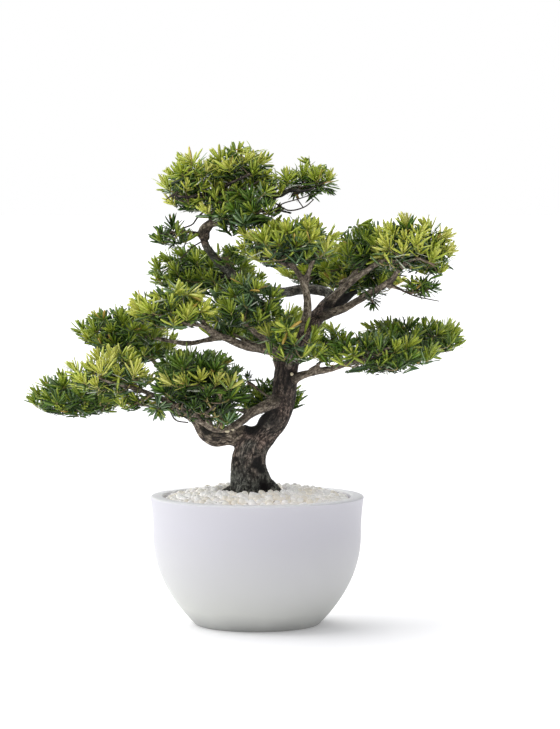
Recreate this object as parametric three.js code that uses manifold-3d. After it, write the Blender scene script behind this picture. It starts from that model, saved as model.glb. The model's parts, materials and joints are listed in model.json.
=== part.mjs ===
// A podocarpus trained as a bonsai, in a round white bowl planter dressed with pale pebbles.
//
// Millimetres, +Z up. The origin is the centre of the planter's flat underside, on the planter's axis.
// The front of the tree looks along -Y, and its left is -X.
//
// The planter, soil and pebble bed are turned shapes. The trunk and the boughs are tapering limbs that
// follow smooth lines. Each mass of foliage grows by one seeded rule: a stem carries on from its bough's
// tip, twigs branch from the stem, and each twig ends in a tuft of leaves.

import * as THREE from 'three';
import { mergeVertices } from 'three/addons/utils/BufferGeometryUtils.js';
import Module from 'manifold-3d';

const wasm = await Module();
wasm.setup();

// ---------------------------------------------------------------------------------------------------
// Driving dimensions
// ---------------------------------------------------------------------------------------------------

const CLEAR = 0.3; // the gap between touching pieces
const GOLDEN_TURN = Math.PI * (3 - Math.sqrt(5)); // the turn from one tuft to the next

// Planter: a bowl on a flat foot, with a soft shoulder and a thick lip that flares a little.
const RIM_RADIUS = 300;
const PLANTER_HEIGHT = 362;
const FOOT_RADIUS = 174;
const FOOT_EDGE = 6; // the rounded corner at the foot
const BELLY_RADIUS = 292;
const BELLY_HEIGHT = 260;
const BOWL_POWER = 2.2; // how quickly the bowl turns from its foot to its upright side
const WALL = 28;
const LIP_WIDTH = 37;
const LIP_ROUND = 7;
const FLOOR = 26;
const PLANTER_SIDES = 36;
const BOWL_STEPS = 7; // rings of the outside
const HOLLOW_STEPS = 4; // rings of the inside, under the soil

// Soil fills the bowl: flat round the trunk's foot, then falling to the wall.
const SOIL_TOP = 366;
const SOIL_FLAT = 124;
const SOIL_EDGE = 328;
const SOIL_FALL_POWER = 1.5; // how late the soil begins to fall
const SOIL_RINGS = 3;

// Pebble bed: a ring of pale stones over the soil, open round the trunk's foot.
const BED_THICKNESS = 12;
const BED_EDGE_THICKNESS = 18;
const BED_HOLE = 102;
const BED_RINGS = 7;
const STONE_RISE = 5; // how far stones stand over the bed's mean height, and dips lie under it
const STONE_LEAST = 0.5; // the least stone's rise, as a share of the greatest
const STONE_SEED = 11;

// Trunk: the root flare dies away over this height, swollen most where a surface root runs out.
const GROUND = SOIL_TOP + CLEAR;
const FLARE_HEIGHT = 30;
const ROOTS = [
  { bearing: -25, swell: 0.62 },
  { bearing: 40, swell: 0.4 },
  { bearing: 110, swell: 0.45 },
  { bearing: 185, swell: 0.3 },
  { bearing: 250, swell: 0.42 },
];
const ROOT_SHARPNESS = 8;
const TRUNK_SIDES = 16;
const BOUGH_SIDES = 6;
const TWIG_SIDES = 3;
const STEM_SIDES = 4;
const RING_STEP = 34; // least distance between a limb's rings
const LENGTH_STEPS = 24; // straight steps that measure a stretch of a limb
const LEAST_SIDE = 0.2; // a ring's side direction is set afresh when it runs this nearly along the limb

// Limbs. Each follows a smooth line through points of [x, y, z, radius] and starts inside its parent.
// Where a limb bends round open space it is cut into the named pieces, at the given points.
const LIMBS = [
  {
    names: ['trunk'],
    way: [
      [-17, 0, 340, 60], [-17, 0, 392, 53], [-24, 0, 452, 46], [-14, 3, 496, 45], [18, 3, 538, 41],
      [56, 0, 583, 36], [75, -4, 646, 34], [83, 4, 720, 32], [112, 15, 797, 26], [150, 15, 842, 24],
      [193, 10, 890, 20],
    ],
  },
  {
    names: ['bough_low_left', 'bough_low_left_end'],
    parents: ['trunk'],
    way: [
      [0, 0, 520, 30], [-40, 5, 524, 27], [-80, 10, 527, 26], [-118, 18, 525, 25], [-146, 30, 535, 20],
      [-176, 52, 570, 13], [-254, 104, 602, 10], [-376, 100, 617, 7],
    ],
    cutAt: [5],
  },
  {
    names: ['bough_low_back'],
    parents: ['bough_low_left', 'bough_low_left_end'],
    way: [[-160, 40, 546, 10], [-176, 84, 600, 8], [-172, 90, 664, 6]],
  },
  {
    names: ['bough_left_back'],
    parents: ['bough_low_left'],
    way: [[-110, 18, 518, 13], [-160, 100, 572, 10], [-240, 182, 654, 8], [-296, 218, 722, 6]],
  },
  {
    names: ['bough_front_fall', 'bough_front_rise'],
    parents: ['trunk'],
    way: [
      [72, -6, 636, 17], [22, -62, 618, 14], [-12, -95, 603, 13], [-46, -124, 577, 11], [-86, -148, 558, 9],
      [-120, -161, 562, 9], [-149, -170, 579, 8], [-183, -177, 604, 8], [-246, -180, 640, 7],
      [-330, -168, 672, 6],
    ],
    cutAt: [4],
  },
  {
    names: ['bough_low_centre'],
    parents: ['bough_front_rise'],
    way: [[-160, -172, 587, 7], [-168, -192, 606, 6], [-168, -198, 624, 5]],
  },
  {
    names: ['bough_mid_left'],
    parents: ['trunk'],
    way: [
      [84, 6, 756, 14], [14, -50, 776, 13], [-30, -82, 785, 12], [-77, -106, 803, 10], [-118, -122, 823, 8],
      [-158, -134, 862, 6],
    ],
  },
  {
    names: ['bough_mid_left_back'],
    parents: ['bough_mid_left'],
    way: [[-100, -114, 815, 8], [-135, -98, 803, 7], [-191, -78, 792, 7], [-293, -26, 806, 5]],
  },
  {
    names: ['bough_centre'],
    parents: ['trunk', 'bough_mid_left'],
    way: [[84, 4, 772, 11], [14, -44, 806, 9], [-26, -80, 846, 7], [-40, -100, 882, 6]],
  },
  {
    names: ['bough_front'],
    parents: ['trunk'],
    way: [[84, 0, 722, 10], [92, -62, 738, 8], [92, -120, 772, 6]],
  },
  {
    names: ['bough_back_low'],
    parents: ['trunk'],
    way: [[76, 0, 668, 13], [66, 96, 690, 11], [52, 190, 732, 9], [44, 250, 770, 6]],
  },
  {
    names: ['bough_inner_rear'],
    parents: ['trunk'],
    way: [[44, 4, 580, 10], [40, 58, 586, 8], [38, 92, 600, 6]],
  },
  {
    names: ['bough_upright'],
    parents: ['trunk'],
    way: [
      [118, 14, 804, 13], [138, -14, 860, 12], [140, -36, 911, 11], [126, -52, 964, 9], [96, -66, 1014, 7],
    ],
  },
  {
    names: ['bough_right_low'],
    parents: ['trunk'],
    way: [[82, -2, 676, 13], [122, -32, 700, 11], [214, -80, 724, 9], [270, -106, 744, 7]],
  },
  {
    names: ['bough_right_back'],
    parents: ['trunk'],
    way: [[92, 10, 766, 13], [140, 62, 778, 11], [228, 116, 786, 9], [345, 146, 792, 7]],
  },
  {
    names: ['bough_right_up'],
    parents: ['trunk'],
    way: [
      [176, 6, 872, 16], [240, -24, 902, 14], [289, -42, 933, 12], [345, -54, 966, 10], [384, -62, 1016, 7],
    ],
  },
  {
    names: ['bough_right_end'],
    parents: ['bough_right_up'],
    way: [[322, -50, 952, 8], [362, -60, 947, 6], [402, -62, 936, 5]],
  },
  {
    names: ['bough_right_mid'],
    parents: ['trunk', 'bough_right_up'],
    way: [[186, 10, 882, 18], [232, 6, 943, 15], [262, 14, 974, 12], [292, 22, 1012, 8]],
  },
  {
    names: ['bough_right_rear'],
    parents: ['bough_right_mid'],
    way: [[240, 8, 952, 11], [262, 70, 966, 9], [276, 130, 984, 7]],
  },
  {
    names: ['leader_low', 'leader_bend', 'leader_top'],
    parents: ['trunk', 'bough_right_up', 'bough_right_mid'],
    way: [
      [178, 22, 872, 15], [206, 46, 920, 14], [143, 84, 938, 14], [60, 106, 928, 14], [-41, 105, 958, 13],
      [-120, 72, 1026, 12], [-150, 54, 1080, 11], [-128, 36, 1126, 10], [-116, 24, 1175, 8],
      [-118, 20, 1216, 6],
    ],
    cutAt: [4, 7],
  },
  {
    names: ['bough_back'],
    parents: ['leader_low'],
    way: [[100, 98, 932, 10], [122, 160, 938, 8], [146, 214, 962, 6]],
  },
  {
    names: ['bough_back_left'],
    parents: ['leader_bend'],
    way: [[-66, 96, 980, 9], [-104, 138, 966, 7], [-134, 166, 960, 6]],
  },
  {
    names: ['bough_top_right'],
    parents: ['leader_top'],
    way: [[-124, 34, 1136, 9], [-36, 22, 1144, 9], [28, 12, 1186, 8], [78, 10, 1212, 6]],
  },
  {
    names: ['bough_top_front'],
    parents: ['bough_top_right'],
    way: [[-64, 24, 1137, 6], [-46, 0, 1137, 5], [-34, -22, 1144, 5]],
  },
  {
    names: ['bough_top_mid'],
    parents: ['leader_top'],
    way: [[-116, 24, 1178, 6], [-96, 22, 1214, 5], [-76, 20, 1248, 5]],
  },
  {
    names: ['bough_small_left'],
    parents: ['leader_bend'],
    way: [[-150, 54, 1086, 6], [-176, 44, 1096, 5], [-197, 36, 1100, 4]],
  },
];

// Masses of foliage: the limb piece whose tip feeds each one, its heart and its reach to each side.
const MASSES = [
  { name: 'foliage_top_left', fedBy: 'leader_top', heart: [-182, 20, 1246], reach: [104, 98, 88] },
  { name: 'foliage_top_mid', fedBy: 'bough_top_mid', heart: [-52, 15, 1292], reach: [102, 104, 60] },
  { name: 'foliage_top_right', fedBy: 'bough_top_right', heart: [136, 10, 1246], reach: [106, 100, 62] },
  { name: 'foliage_top_front', fedBy: 'bough_top_front', heart: [-10, -60, 1176], reach: [96, 92, 62] },
  { name: 'foliage_small_left', fedBy: 'bough_small_left', heart: [-236, 28, 1110], reach: [72, 66, 56] },
  { name: 'foliage_back_left', fedBy: 'bough_back_left', heart: [-146, 184, 992], reach: [166, 122, 76] },
  { name: 'foliage_centre_right', fedBy: 'bough_upright', heart: [82, -76, 1080], reach: [150, 120, 76] },
  { name: 'foliage_right_up', fedBy: 'bough_right_up', heart: [430, -62, 1070], reach: [130, 120, 84] },
  { name: 'foliage_right_inner', fedBy: 'bough_right_mid', heart: [304, 20, 1062], reach: [92, 108, 72] },
  { name: 'foliage_right_end', fedBy: 'bough_right_end', heart: [456, -62, 938], reach: [70, 64, 34] },
  { name: 'foliage_right_rear', fedBy: 'bough_right_rear', heart: [294, 186, 1000], reach: [128, 110, 82] },
  { name: 'foliage_centre', fedBy: 'bough_centre', heart: [-26, -128, 920], reach: [104, 104, 84] },
  { name: 'foliage_mid_left', fedBy: 'bough_mid_left', heart: [-222, -148, 904], reach: [136, 118, 66] },
  { name: 'foliage_left_high', fedBy: 'bough_mid_left_back', heart: [-390, 0, 838], reach: [132, 122, 66] },
  { name: 'foliage_low_tip', fedBy: 'bough_low_left_end', heart: [-506, 60, 648], reach: [146, 122, 68] },
  { name: 'foliage_low_front', fedBy: 'bough_front_rise', heart: [-398, -166, 724], reach: [128, 112, 68] },
  { name: 'foliage_low_centre', fedBy: 'bough_low_centre', heart: [-164, -200, 688], reach: [146, 116, 106] },
  { name: 'foliage_low_back', fedBy: 'bough_low_back', heart: [-170, 74, 712], reach: [134, 122, 66] },
  { name: 'foliage_left_rear', fedBy: 'bough_left_back', heart: [-346, 232, 780], reach: [128, 118, 60] },
  { name: 'foliage_right_low', fedBy: 'bough_right_low', heart: [330, -126, 774], reach: [172, 112, 62] },
  { name: 'foliage_right_back', fedBy: 'bough_right_back', heart: [448, 148, 808], reach: [166, 126, 56] },
  { name: 'foliage_front', fedBy: 'bough_front', heart: [92, -176, 810], reach: [102, 84, 66] },
  { name: 'foliage_inner_rear', fedBy: 'bough_inner_rear', heart: [34, 126, 632], reach: [106, 84, 52] },
  { name: 'foliage_rear', fedBy: 'bough_back', heart: [172, 276, 1006], reach: [120, 116, 68] },
  { name: 'foliage_rear_low', fedBy: 'bough_back_low', heart: [50, 306, 828], reach: [146, 120, 66] },
];

// Growth inside a mass.
const TUFT_AREA = 4900; // plan area, as reach times reach, that one tuft fills
const BUD_RADIUS = 8; // a twig's thick end, whose faces are drawn out into leaves
const TUFT_TRIES = 6; // turns of the bud that are tried for the most leaves
const LEAVES_PER_TUFT = 8;
const LEAF_LENGTH = 104;
const LEAF_WIDTH = 30;
const LEAF_THICKNESS = 6;
const LEAF_WIDEST = 0.55; // where the leaf is widest, from root to tip
const LEAF_SIZES = [1, 0.84, 0.7, 0.58]; // a leaf that finds no room is tried smaller
const LEAF_TILT = 96; // degrees from the tuft's own direction to its lowest leaves
const LEAF_SAMPLES = [0.3, 0.55, 0.8, 1];
const LEAF_FREE = 0.25; // a leaf's root stretch, where it may come close to its neighbours
const LEAF_MARGIN = 11; // between the middle lines of two leaves, past their roots
const LEAST_TUFTS = 3;
const TWIG_RADII = [3.2, 2.6]; // at its root, and inside its bud
const FORKS = [0.45, 0.56, 0.67, 0.78, 0.89, 1]; // where a twig may leave the stem, along its length
const FORK_SHARE = 0.55; // where a later twig may leave an earlier one, along its length
const TWIG_FREE = 0.7; // a twig's stretch that leaves keep away from, from its root
const ONWARD = 0.4; // how much a tuft leans on along its twig
const UPWARD = 0.7; // how much a tuft turns up to the light
const STEM_RINGS = 4;
const FIRST_SEED = 100; // of the first mass; the next masses count on from it
const STEM_END_RADIUS = 3.4;
const STEM_DROP = 0.34; // how far under the heart the stem ends, in reaches
const STEM_FIRST = 2; // the stem's straight start, square to its bough's tip
const STEM_SWING = 0.4; // how far the stem keeps its bough's direction, as a share of its length
const TUFT_SPREAD = 0.62; // the outermost tuft's distance from the heart, in reaches
const TUFT_DOME = 0.14; // the middle tuft's height over the heart, in reaches
const TUFT_RIM = -0.48; // the outermost tuft's height, in reaches
const TUFT_JITTER = 0.08; // how far a tuft strays up or down, in reaches
const TUFT_STRAY = 0.5; // how far a tuft strays round the heart, in radians
const TRUNKWARD = 0.3; // how much a twig prefers to branch off close to the stem
const BORDER = 0.035; // the bare border between neighbouring masses, in reaches
const LIMB_MARGIN = 1.2; // between a leaf or twig and any limb

// Finishes.
const FINISHES = {
  glaze: { color: 0xe6e4ea, roughness: 0.5, metalness: 0 },
  soil: { color: 0x3a2a1e, roughness: 0.95, metalness: 0 },
  pebble: { color: 0xe2dccf, roughness: 0.75, metalness: 0 },
  bark: { color: 0x574739, roughness: 0.9, metalness: 0 },
  leaf: { color: 0x5f8a32, roughness: 0.5, metalness: 0 },
};

// ---------------------------------------------------------------------------------------------------
// Solids
// ---------------------------------------------------------------------------------------------------

const vec = (p) => new THREE.Vector3(p[0], p[1], p[2]);
const lerp = THREE.MathUtils.lerp;
const radians = THREE.MathUtils.degToRad;

function seeded(seed) {
  let state = seed >>> 0;
  return () => {
    state = (state + 0x6d2b79f5) >>> 0;
    let mixed = Math.imul(state ^ (state >>> 15), state | 1);
    mixed = (mixed + Math.imul(mixed ^ (mixed >>> 7), mixed | 61)) ^ mixed;
    return ((mixed ^ (mixed >>> 14)) >>> 0) / 4294967296;
  };
}

// A closed three.js geometry as a solid.
function solid(geometry) {
  const bare = geometry.clone();
  bare.deleteAttribute('normal');
  bare.deleteAttribute('uv');
  const merged = mergeVertices(bare, 1e-4);
  return new wasm.Manifold(new wasm.Mesh({
    numProp: 3,
    vertProperties: new Float32Array(merged.attributes.position.array),
    triVerts: new Uint32Array(merged.index.array),
  }));
}

// The one largest body of a solid, without loose scraps and sealed hollows.
function largest(shape) {
  return shape.decompose().reduce((best, body) => (body.volume() > best.volume() ? body : best));
}

function node(name, shape, finish) {
  const mesh = shape.getMesh();
  const geometry = new THREE.BufferGeometry();
  geometry.setAttribute('position', new THREE.BufferAttribute(new Float32Array(mesh.vertProperties), 3));
  geometry.setIndex(new THREE.BufferAttribute(new Uint32Array(mesh.triVerts), 1));
  geometry.computeVertexNormals();
  const made = new THREE.Mesh(geometry, new THREE.MeshStandardMaterial(FINISHES[finish]));
  made.name = name;
  return made;
}

// A profile of [radius, height] pairs, turned round the Z axis.
function turned(profile) {
  const points = profile.map(([radius, height]) => new THREE.Vector2(radius, height));
  const geometry = new THREE.LatheGeometry(points, PLANTER_SIDES);
  geometry.rotateX(Math.PI / 2);
  return solid(geometry);
}

// ---------------------------------------------------------------------------------------------------
// Planter, soil and pebbles
// ---------------------------------------------------------------------------------------------------

// The planter's outer radius at a height.
function bowlRadius(height) {
  if (height < BELLY_HEIGHT) {
    const rise = height / BELLY_HEIGHT;
    return lerp(FOOT_RADIUS, BELLY_RADIUS, 1 - (1 - rise) ** BOWL_POWER);
  }
  const rise = (height - BELLY_HEIGHT) / (PLANTER_HEIGHT - BELLY_HEIGHT);
  return lerp(BELLY_RADIUS, RIM_RADIUS, rise ** 2);
}

// The hollow's radius at a height: the wall's thickness in, and never wider than the lip's opening.
function hollowRadius(height) {
  return Math.min(bowlRadius(height) - WALL, RIM_RADIUS - LIP_WIDTH);
}

function steps(count) {
  return Array.from({ length: count + 1 }, (_, i) => i / count);
}

// Stations of the hollow's wall from the floor to the soil's edge.
function hollowWall() {
  return steps(HOLLOW_STEPS).map((t) => {
    const height = lerp(FLOOR, SOIL_EDGE, t);
    return [hollowRadius(height), height];
  });
}

function buildPlanter() {
  const outer = steps(BOWL_STEPS).map((t) => {
    const height = lerp(FOOT_EDGE, PLANTER_HEIGHT - LIP_ROUND, t);
    return [bowlRadius(height), height];
  });
  const opening = RIM_RADIUS - LIP_WIDTH;
  return turned([
    [0, 0],
    [FOOT_RADIUS - FOOT_EDGE, 0],
    ...outer,
    [RIM_RADIUS - LIP_ROUND, PLANTER_HEIGHT],
    [opening + LIP_ROUND, PLANTER_HEIGHT],
    [opening, PLANTER_HEIGHT - LIP_ROUND],
    ...hollowWall().reverse(),
    [0, FLOOR],
  ]);
}

// The soil's top at a distance from the planter's axis.
function soilHeight(radius) {
  const fall = Math.max(0, radius - SOIL_FLAT) / (RIM_RADIUS - LIP_WIDTH - SOIL_FLAT);
  return SOIL_TOP - (SOIL_TOP - SOIL_EDGE) * fall ** SOIL_FALL_POWER;
}

// The rings that the soil's top and the bed's underside share.
function soilRings() {
  return steps(SOIL_RINGS).map((t) => lerp(SOIL_FLAT, RIM_RADIUS - LIP_WIDTH - CLEAR, t));
}

function buildSoil() {
  const side = hollowWall().map(([radius, height], i) => [radius - CLEAR, i === 0 ? height + CLEAR : height]);
  const top = soilRings().slice(0, -1).reverse().map((radius) => [radius, soilHeight(radius)]);
  return turned([[0, FLOOR + CLEAR], ...side, ...top, [0, SOIL_TOP]]);
}

// The bed's top at a distance from the axis.
function bedHeight(radius) {
  const out = (radius - BED_HOLE) / (RIM_RADIUS - LIP_WIDTH - BED_HOLE);
  return soilHeight(radius) + lerp(BED_THICKNESS, BED_EDGE_THICKNESS, out);
}

function buildPebbles() {
  const outermost = RIM_RADIUS - LIP_WIDTH - CLEAR;
  const under = [BED_HOLE, ...soilRings()].map((radius) => [radius, soilHeight(radius) + CLEAR]);
  const over = steps(BED_RINGS).map((t) => {
    const radius = lerp(outermost, BED_HOLE, t);
    return [radius, bedHeight(radius)];
  });
  const points = [...under, ...over, under[0]].map(([radius, height]) => new THREE.Vector2(radius, height));
  const bed = new THREE.LatheGeometry(points, PLANTER_SIDES);
  bed.rotateX(Math.PI / 2);
  const random = seeded(STONE_SEED);
  const rises = Array.from({ length: PLANTER_SIDES * points.length }, () => lerp(STONE_LEAST, 1, random()));
  const place = bed.attributes.position;
  for (let i = 0; i < place.count; i += 1) {
    const station = i % points.length;
    const turn = Math.floor(i / points.length) % PLANTER_SIDES;
    const isOver = station >= under.length && station < points.length - 1;
    const side = (turn + station) % 2 ? -1 : 1; // stones and dips by turns
    const lift = isOver ? side * STONE_RISE * rises[turn * points.length + station] : 0;
    place.setZ(i, place.getZ(i) + lift);
  }
  return solid(bed);
}

// ---------------------------------------------------------------------------------------------------
// Limbs
// ---------------------------------------------------------------------------------------------------

// A smooth, tapering line through points of [x, y, z, radius].
class Limb {
  constructor(way) {
    this.curve = new THREE.CatmullRomCurve3(way.map(vec), false, 'centripetal');
    this.radii = way.map((point) => point[3]);
    this.last = way.length - 1;
  }

  point(t) {
    return this.curve.getPoint(t);
  }

  tangent(t) {
    return this.curve.getTangent(t);
  }

  radius(t) {
    const place = Math.min(Math.max(t, 0), 1) * this.last;
    const before = Math.min(Math.floor(place), this.last - 1);
    return lerp(this.radii[before], this.radii[before + 1], place - before);
  }

  length(from, to) {
    const marks = steps(LENGTH_STEPS).map((t) => this.point(lerp(from, to, t)));
    return marks.slice(1).reduce((sum, mark, i) => sum + mark.distanceTo(marks[i]), 0);
  }

  // The parameter a given distance further along.
  onward(t, distance) {
    const nudge = 1e-3;
    return t + nudge * distance / this.point(t + nudge).distanceTo(this.point(t));
  }

  // Straight stretches that stand for the limb between two parameters, for telling distances.
  stretches(from, to) {
    const count = Math.max(2, Math.ceil(this.length(from, to) / RING_STEP));
    return Array.from({ length: count }, (_, i) => {
      const start = lerp(from, to, i / count);
      const end = lerp(from, to, (i + 1) / count);
      const radius = Math.max(this.radius(start), this.radius(end));
      return { a: this.point(start), b: this.point(end), radius };
    });
  }
}

// How much the trunk swells towards its surface roots, at a bearing and a height over the ground.
function rootSwell(bearing, height) {
  const fade = Math.exp(-Math.max(0, height) / FLARE_HEIGHT);
  const swell = ROOTS.reduce((sum, root) => {
    const facing = Math.max(0, Math.cos(bearing - radians(root.bearing)));
    return sum + root.swell * facing ** ROOT_SHARPNESS;
  }, 0);
  return 1 + swell * fade;
}

// A closed tube round a limb between two parameters: a cylinder whose rings are carried onto the line.
function tube(limb, from, to, sides, { grow = 0, rings = 0, flare = false } = {}) {
  const girth = (limb.radius(from) + limb.radius(to)) / 2;
  const count = rings || Math.max(1, Math.round(limb.length(from, to) / Math.max(RING_STEP, girth)));
  const frames = [];
  let side = new THREE.Vector3(0, 1, 0);
  for (let i = 0; i <= count; i += 1) {
    const t = lerp(from, to, i / count);
    const along = limb.tangent(t).normalize();
    side = side.clone().addScaledVector(along, -side.dot(along));
    if (side.length() < LEAST_SIDE) {
      side = new THREE.Vector3(1, 0, 0).addScaledVector(along, -along.x);
    }
    side.normalize();
    const across = new THREE.Vector3().crossVectors(along, side);
    frames.push({ centre: limb.point(t), along, side, across, radius: limb.radius(t) + grow });
  }
  frames[0].centre.addScaledVector(frames[0].along, -grow);
  frames[count].centre.addScaledVector(frames[count].along, grow);
  const geometry = new THREE.CylinderGeometry(1, 1, 1, sides, count);
  const place = geometry.attributes.position;
  for (let i = 0; i < place.count; i += 1) {
    const frame = frames[Math.round((place.getY(i) + 0.5) * count)];
    const outward = frame.side.clone().multiplyScalar(place.getZ(i));
    outward.addScaledVector(frame.across, place.getX(i));
    const height = frame.centre.z - GROUND;
    const swell = flare ? rootSwell(Math.atan2(outward.y, outward.x), height) : 1;
    const point = frame.centre.clone().addScaledVector(outward, frame.radius * swell);
    place.setXYZ(i, point.x, point.y, point.z);
  }
  return solid(geometry);
}

// Everything of the trunk below the ground is cut off flat.
function cutAtGround(shape) {
  const below = new THREE.BoxGeometry(4 * RIM_RADIUS, 4 * RIM_RADIUS, GROUND);
  below.translate(0, 0, GROUND / 2);
  return shape.subtract(solid(below));
}

// Every limb piece: its solid, cut clear of its parents, its stretches and its tip.
function buildLimbs() {
  const pieces = new Map();
  LIMBS.forEach(({ names, parents = [], way, cutAt = [] }) => {
    const limb = new Limb(way);
    const ends = [0, ...cutAt.map((point) => point / limb.last), 1];
    names.forEach((name, i) => {
      const from = i === 0 ? 0 : limb.onward(ends[i], CLEAR);
      const to = ends[i + 1];
      const isTrunk = parents.length === 0;
      const sides = isTrunk ? TRUNK_SIDES : BOUGH_SIDES;
      const shapeOf = (grow) => tube(limb, from, to, sides, { grow, flare: isTrunk });
      const whole = isTrunk ? cutAtGround(shapeOf(0)) : shapeOf(0);
      const cutters = i === 0 ? parents : [];
      const shape = cutters.reduce((rest, cutter) => rest.subtract(pieces.get(cutter).grown()), whole);
      const tip = { point: limb.point(to), along: limb.tangent(to).normalize(), radius: limb.radius(to) };
      const stretches = limb.stretches(from, to);
      pieces.set(name, { shape: largest(shape), grown: () => shapeOf(CLEAR), stretches, tip });
    });
  });
  return pieces;
}

// ---------------------------------------------------------------------------------------------------
// Foliage
// ---------------------------------------------------------------------------------------------------

// How far out a point lies in a mass's space: 0 at its heart and 1 at its reach.
function depthIn(mass, point) {
  const [x, y, z] = mass.heart;
  const [a, b, c] = mass.reach;
  return Math.hypot((point.x - x) / a, (point.y - y) / b, (point.z - z) / c);
}

// Whether a point is in the mass's own space and nearer to its heart than to any neighbour's.
function owns(mass, point) {
  const own = depthIn(mass, point);
  return own <= 1 && MASSES.every((other) => other === mass || depthIn(other, point) > own + BORDER);
}

// The shortest distance between two straight stretches.
function gapBetween(p, q, a, b) {
  const u = q.clone().sub(p);
  const v = b.clone().sub(a);
  const w = p.clone().sub(a);
  const uu = u.dot(u);
  const uv = u.dot(v);
  const vv = v.dot(v);
  const uw = u.dot(w);
  const vw = v.dot(w);
  const clamp = (value) => Math.min(1, Math.max(0, value));
  const flat = uu * vv - uv * uv;
  let s = flat > 1e-9 ? clamp((uv * vw - vv * uw) / flat) : 0;
  const t = clamp((uv * s + vw) / vv);
  s = clamp((uv * t - uw) / uu);
  return w.addScaledVector(u, s).addScaledVector(v, -t).length();
}

function clearOf(stretches, from, to, halfWidth) {
  return stretches.every(({ a, b, radius }) => gapBetween(from, to, a, b) > radius + halfWidth + LIMB_MARGIN);
}

// The stem of a mass, which carries on from its bough's tip to just under its heart.
function stemOf(mass, pieces) {
  const { point, along, radius } = pieces.get(mass.fedBy).tip;
  const end = vec(mass.heart);
  end.z -= STEM_DROP * mass.reach[2];
  const start = point.clone().addScaledVector(along, CLEAR);
  const bend = start.clone().addScaledVector(along, STEM_SWING * start.distanceTo(end));
  bend.lerp(start.clone().lerp(end, 0.5), STEM_SWING);
  const first = start.clone().addScaledVector(along, STEM_FIRST);
  const middle = (radius + STEM_END_RADIUS) / 2;
  const way = [[start, radius], [first, radius], [bend, middle], [end, STEM_END_RADIUS]];
  return new Limb(way.map(([place, girth]) => [place.x, place.y, place.z, girth]));
}

// Where the tufts of a mass sit: spread evenly over a dome, from its middle to its rim.
function tuftPlaces(mass, count, random) {
  return Array.from({ length: count }, (_, i) => {
    const out = Math.sqrt((i + 0.5) / count);
    const bearing = i * GOLDEN_TURN + random() * TUFT_STRAY;
    const spread = out * TUFT_SPREAD;
    const rise = lerp(TUFT_DOME, TUFT_RIM, out ** 2) + (2 * random() - 1) * TUFT_JITTER;
    return new THREE.Vector3(
      mass.heart[0] + mass.reach[0] * spread * Math.cos(bearing),
      mass.heart[1] + mass.reach[1] * spread * Math.sin(bearing),
      mass.heart[2] + mass.reach[2] * rise,
    );
  });
}

// The leaf that grows straight out of a bud's face, at the first size that has room, or nothing.
function fitLeaf(mass, place, along, axis, limbs, grown) {
  const across = new THREE.Vector3().crossVectors(along, axis).normalize();
  const size = LEAF_SIZES.find((share) => {
    const length = LEAF_LENGTH * share;
    const half = LEAF_WIDTH * share / 2;
    const at = (reach) => place.clone().addScaledVector(along, reach * length);
    const edges = [half, -half].map((side) => at(LEAF_WIDEST).addScaledVector(across, side));
    const crowded = grown.some(({ a, b }) => gapBetween(at(LEAF_FREE), at(1), a, b) < LEAF_MARGIN);
    const marks = [...LEAF_SAMPLES.map(at), ...edges];
    return !crowded && marks.every((mark) => owns(mass, mark)) && clearOf(limbs, place, at(1), half);
  });
  if (!size) {
    return null;
  }
  const at = (reach) => place.clone().addScaledVector(along, reach * LEAF_LENGTH * size);
  return { size, along, across, middle: at(LEAF_WIDEST), tip: at(1), free: { a: at(LEAF_FREE), b: at(1) } };
}

// The faces of a leaf: its root is a face of the bud, flattened to a blade at its widest, then its tip.
function leafFaces(root, { size, along, across, middle, tip }) {
  const face = new THREE.Vector3().crossVectors(across, along);
  const centre = root[0].clone().add(root[1]).add(root[2]).multiplyScalar(1 / 3);
  const blade = root.map((corner) => {
    const out = corner.clone().sub(centre).normalize();
    return middle.clone()
      .addScaledVector(across, out.dot(across) * LEAF_WIDTH * size / Math.sqrt(3))
      .addScaledVector(face, out.dot(face) * LEAF_THICKNESS * size / Math.sqrt(3));
  });
  return [0, 1, 2].flatMap((i) => {
    const j = (i + 1) % 3;
    return [[root[i], root[j], blade[j]], [root[i], blade[j], blade[i]], [blade[i], blade[j], tip]];
  });
}

// The three corners of each face of a bud, turned about its own axis.
function budFaces(place, turn) {
  const bud = new THREE.IcosahedronGeometry(BUD_RADIUS, 0);
  bud.rotateX(turn / 2);
  bud.rotateZ(turn);
  bud.translate(place.x, place.y, place.z);
  const corners = bud.attributes.position;
  return Array.from({ length: corners.count / 3 }, (_, face) => (
    [0, 1, 2].map((i) => new THREE.Vector3().fromBufferAttribute(corners, 3 * face + i))
  ));
}

// A tuft of leaves on a bud, turned so that the most leaves find room.
function growTuft(mass, place, axis, limbs, grown, random) {
  let best = { count: -1 };
  for (let attempt = 0; attempt < TUFT_TRIES; attempt += 1) {
    const faces = budFaces(place, random() * 2 * Math.PI);
    let count = 0;
    const leaves = faces.map(([a, b, c]) => {
      const along = a.clone().add(b).add(c).multiplyScalar(1 / 3).sub(place).normalize();
      if (count === LEAVES_PER_TUFT || along.angleTo(axis) > radians(LEAF_TILT)) {
        return null;
      }
      const leaf = fitLeaf(mass, place, along, axis, limbs, grown);
      count += leaf ? 1 : 0;
      return leaf;
    });
    if (count > best.count) {
      best = { count, faces, leaves };
    }
  }
  const drawn = best.faces.flatMap((face, i) => (best.leaves[i] ? leafFaces(face, best.leaves[i]) : [face]));
  grown.push(...best.leaves.filter(Boolean).map((leaf) => leaf.free));
  const geometry = new THREE.BufferGeometry().setFromPoints(drawn.flat());
  return solid(geometry);
}

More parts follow.
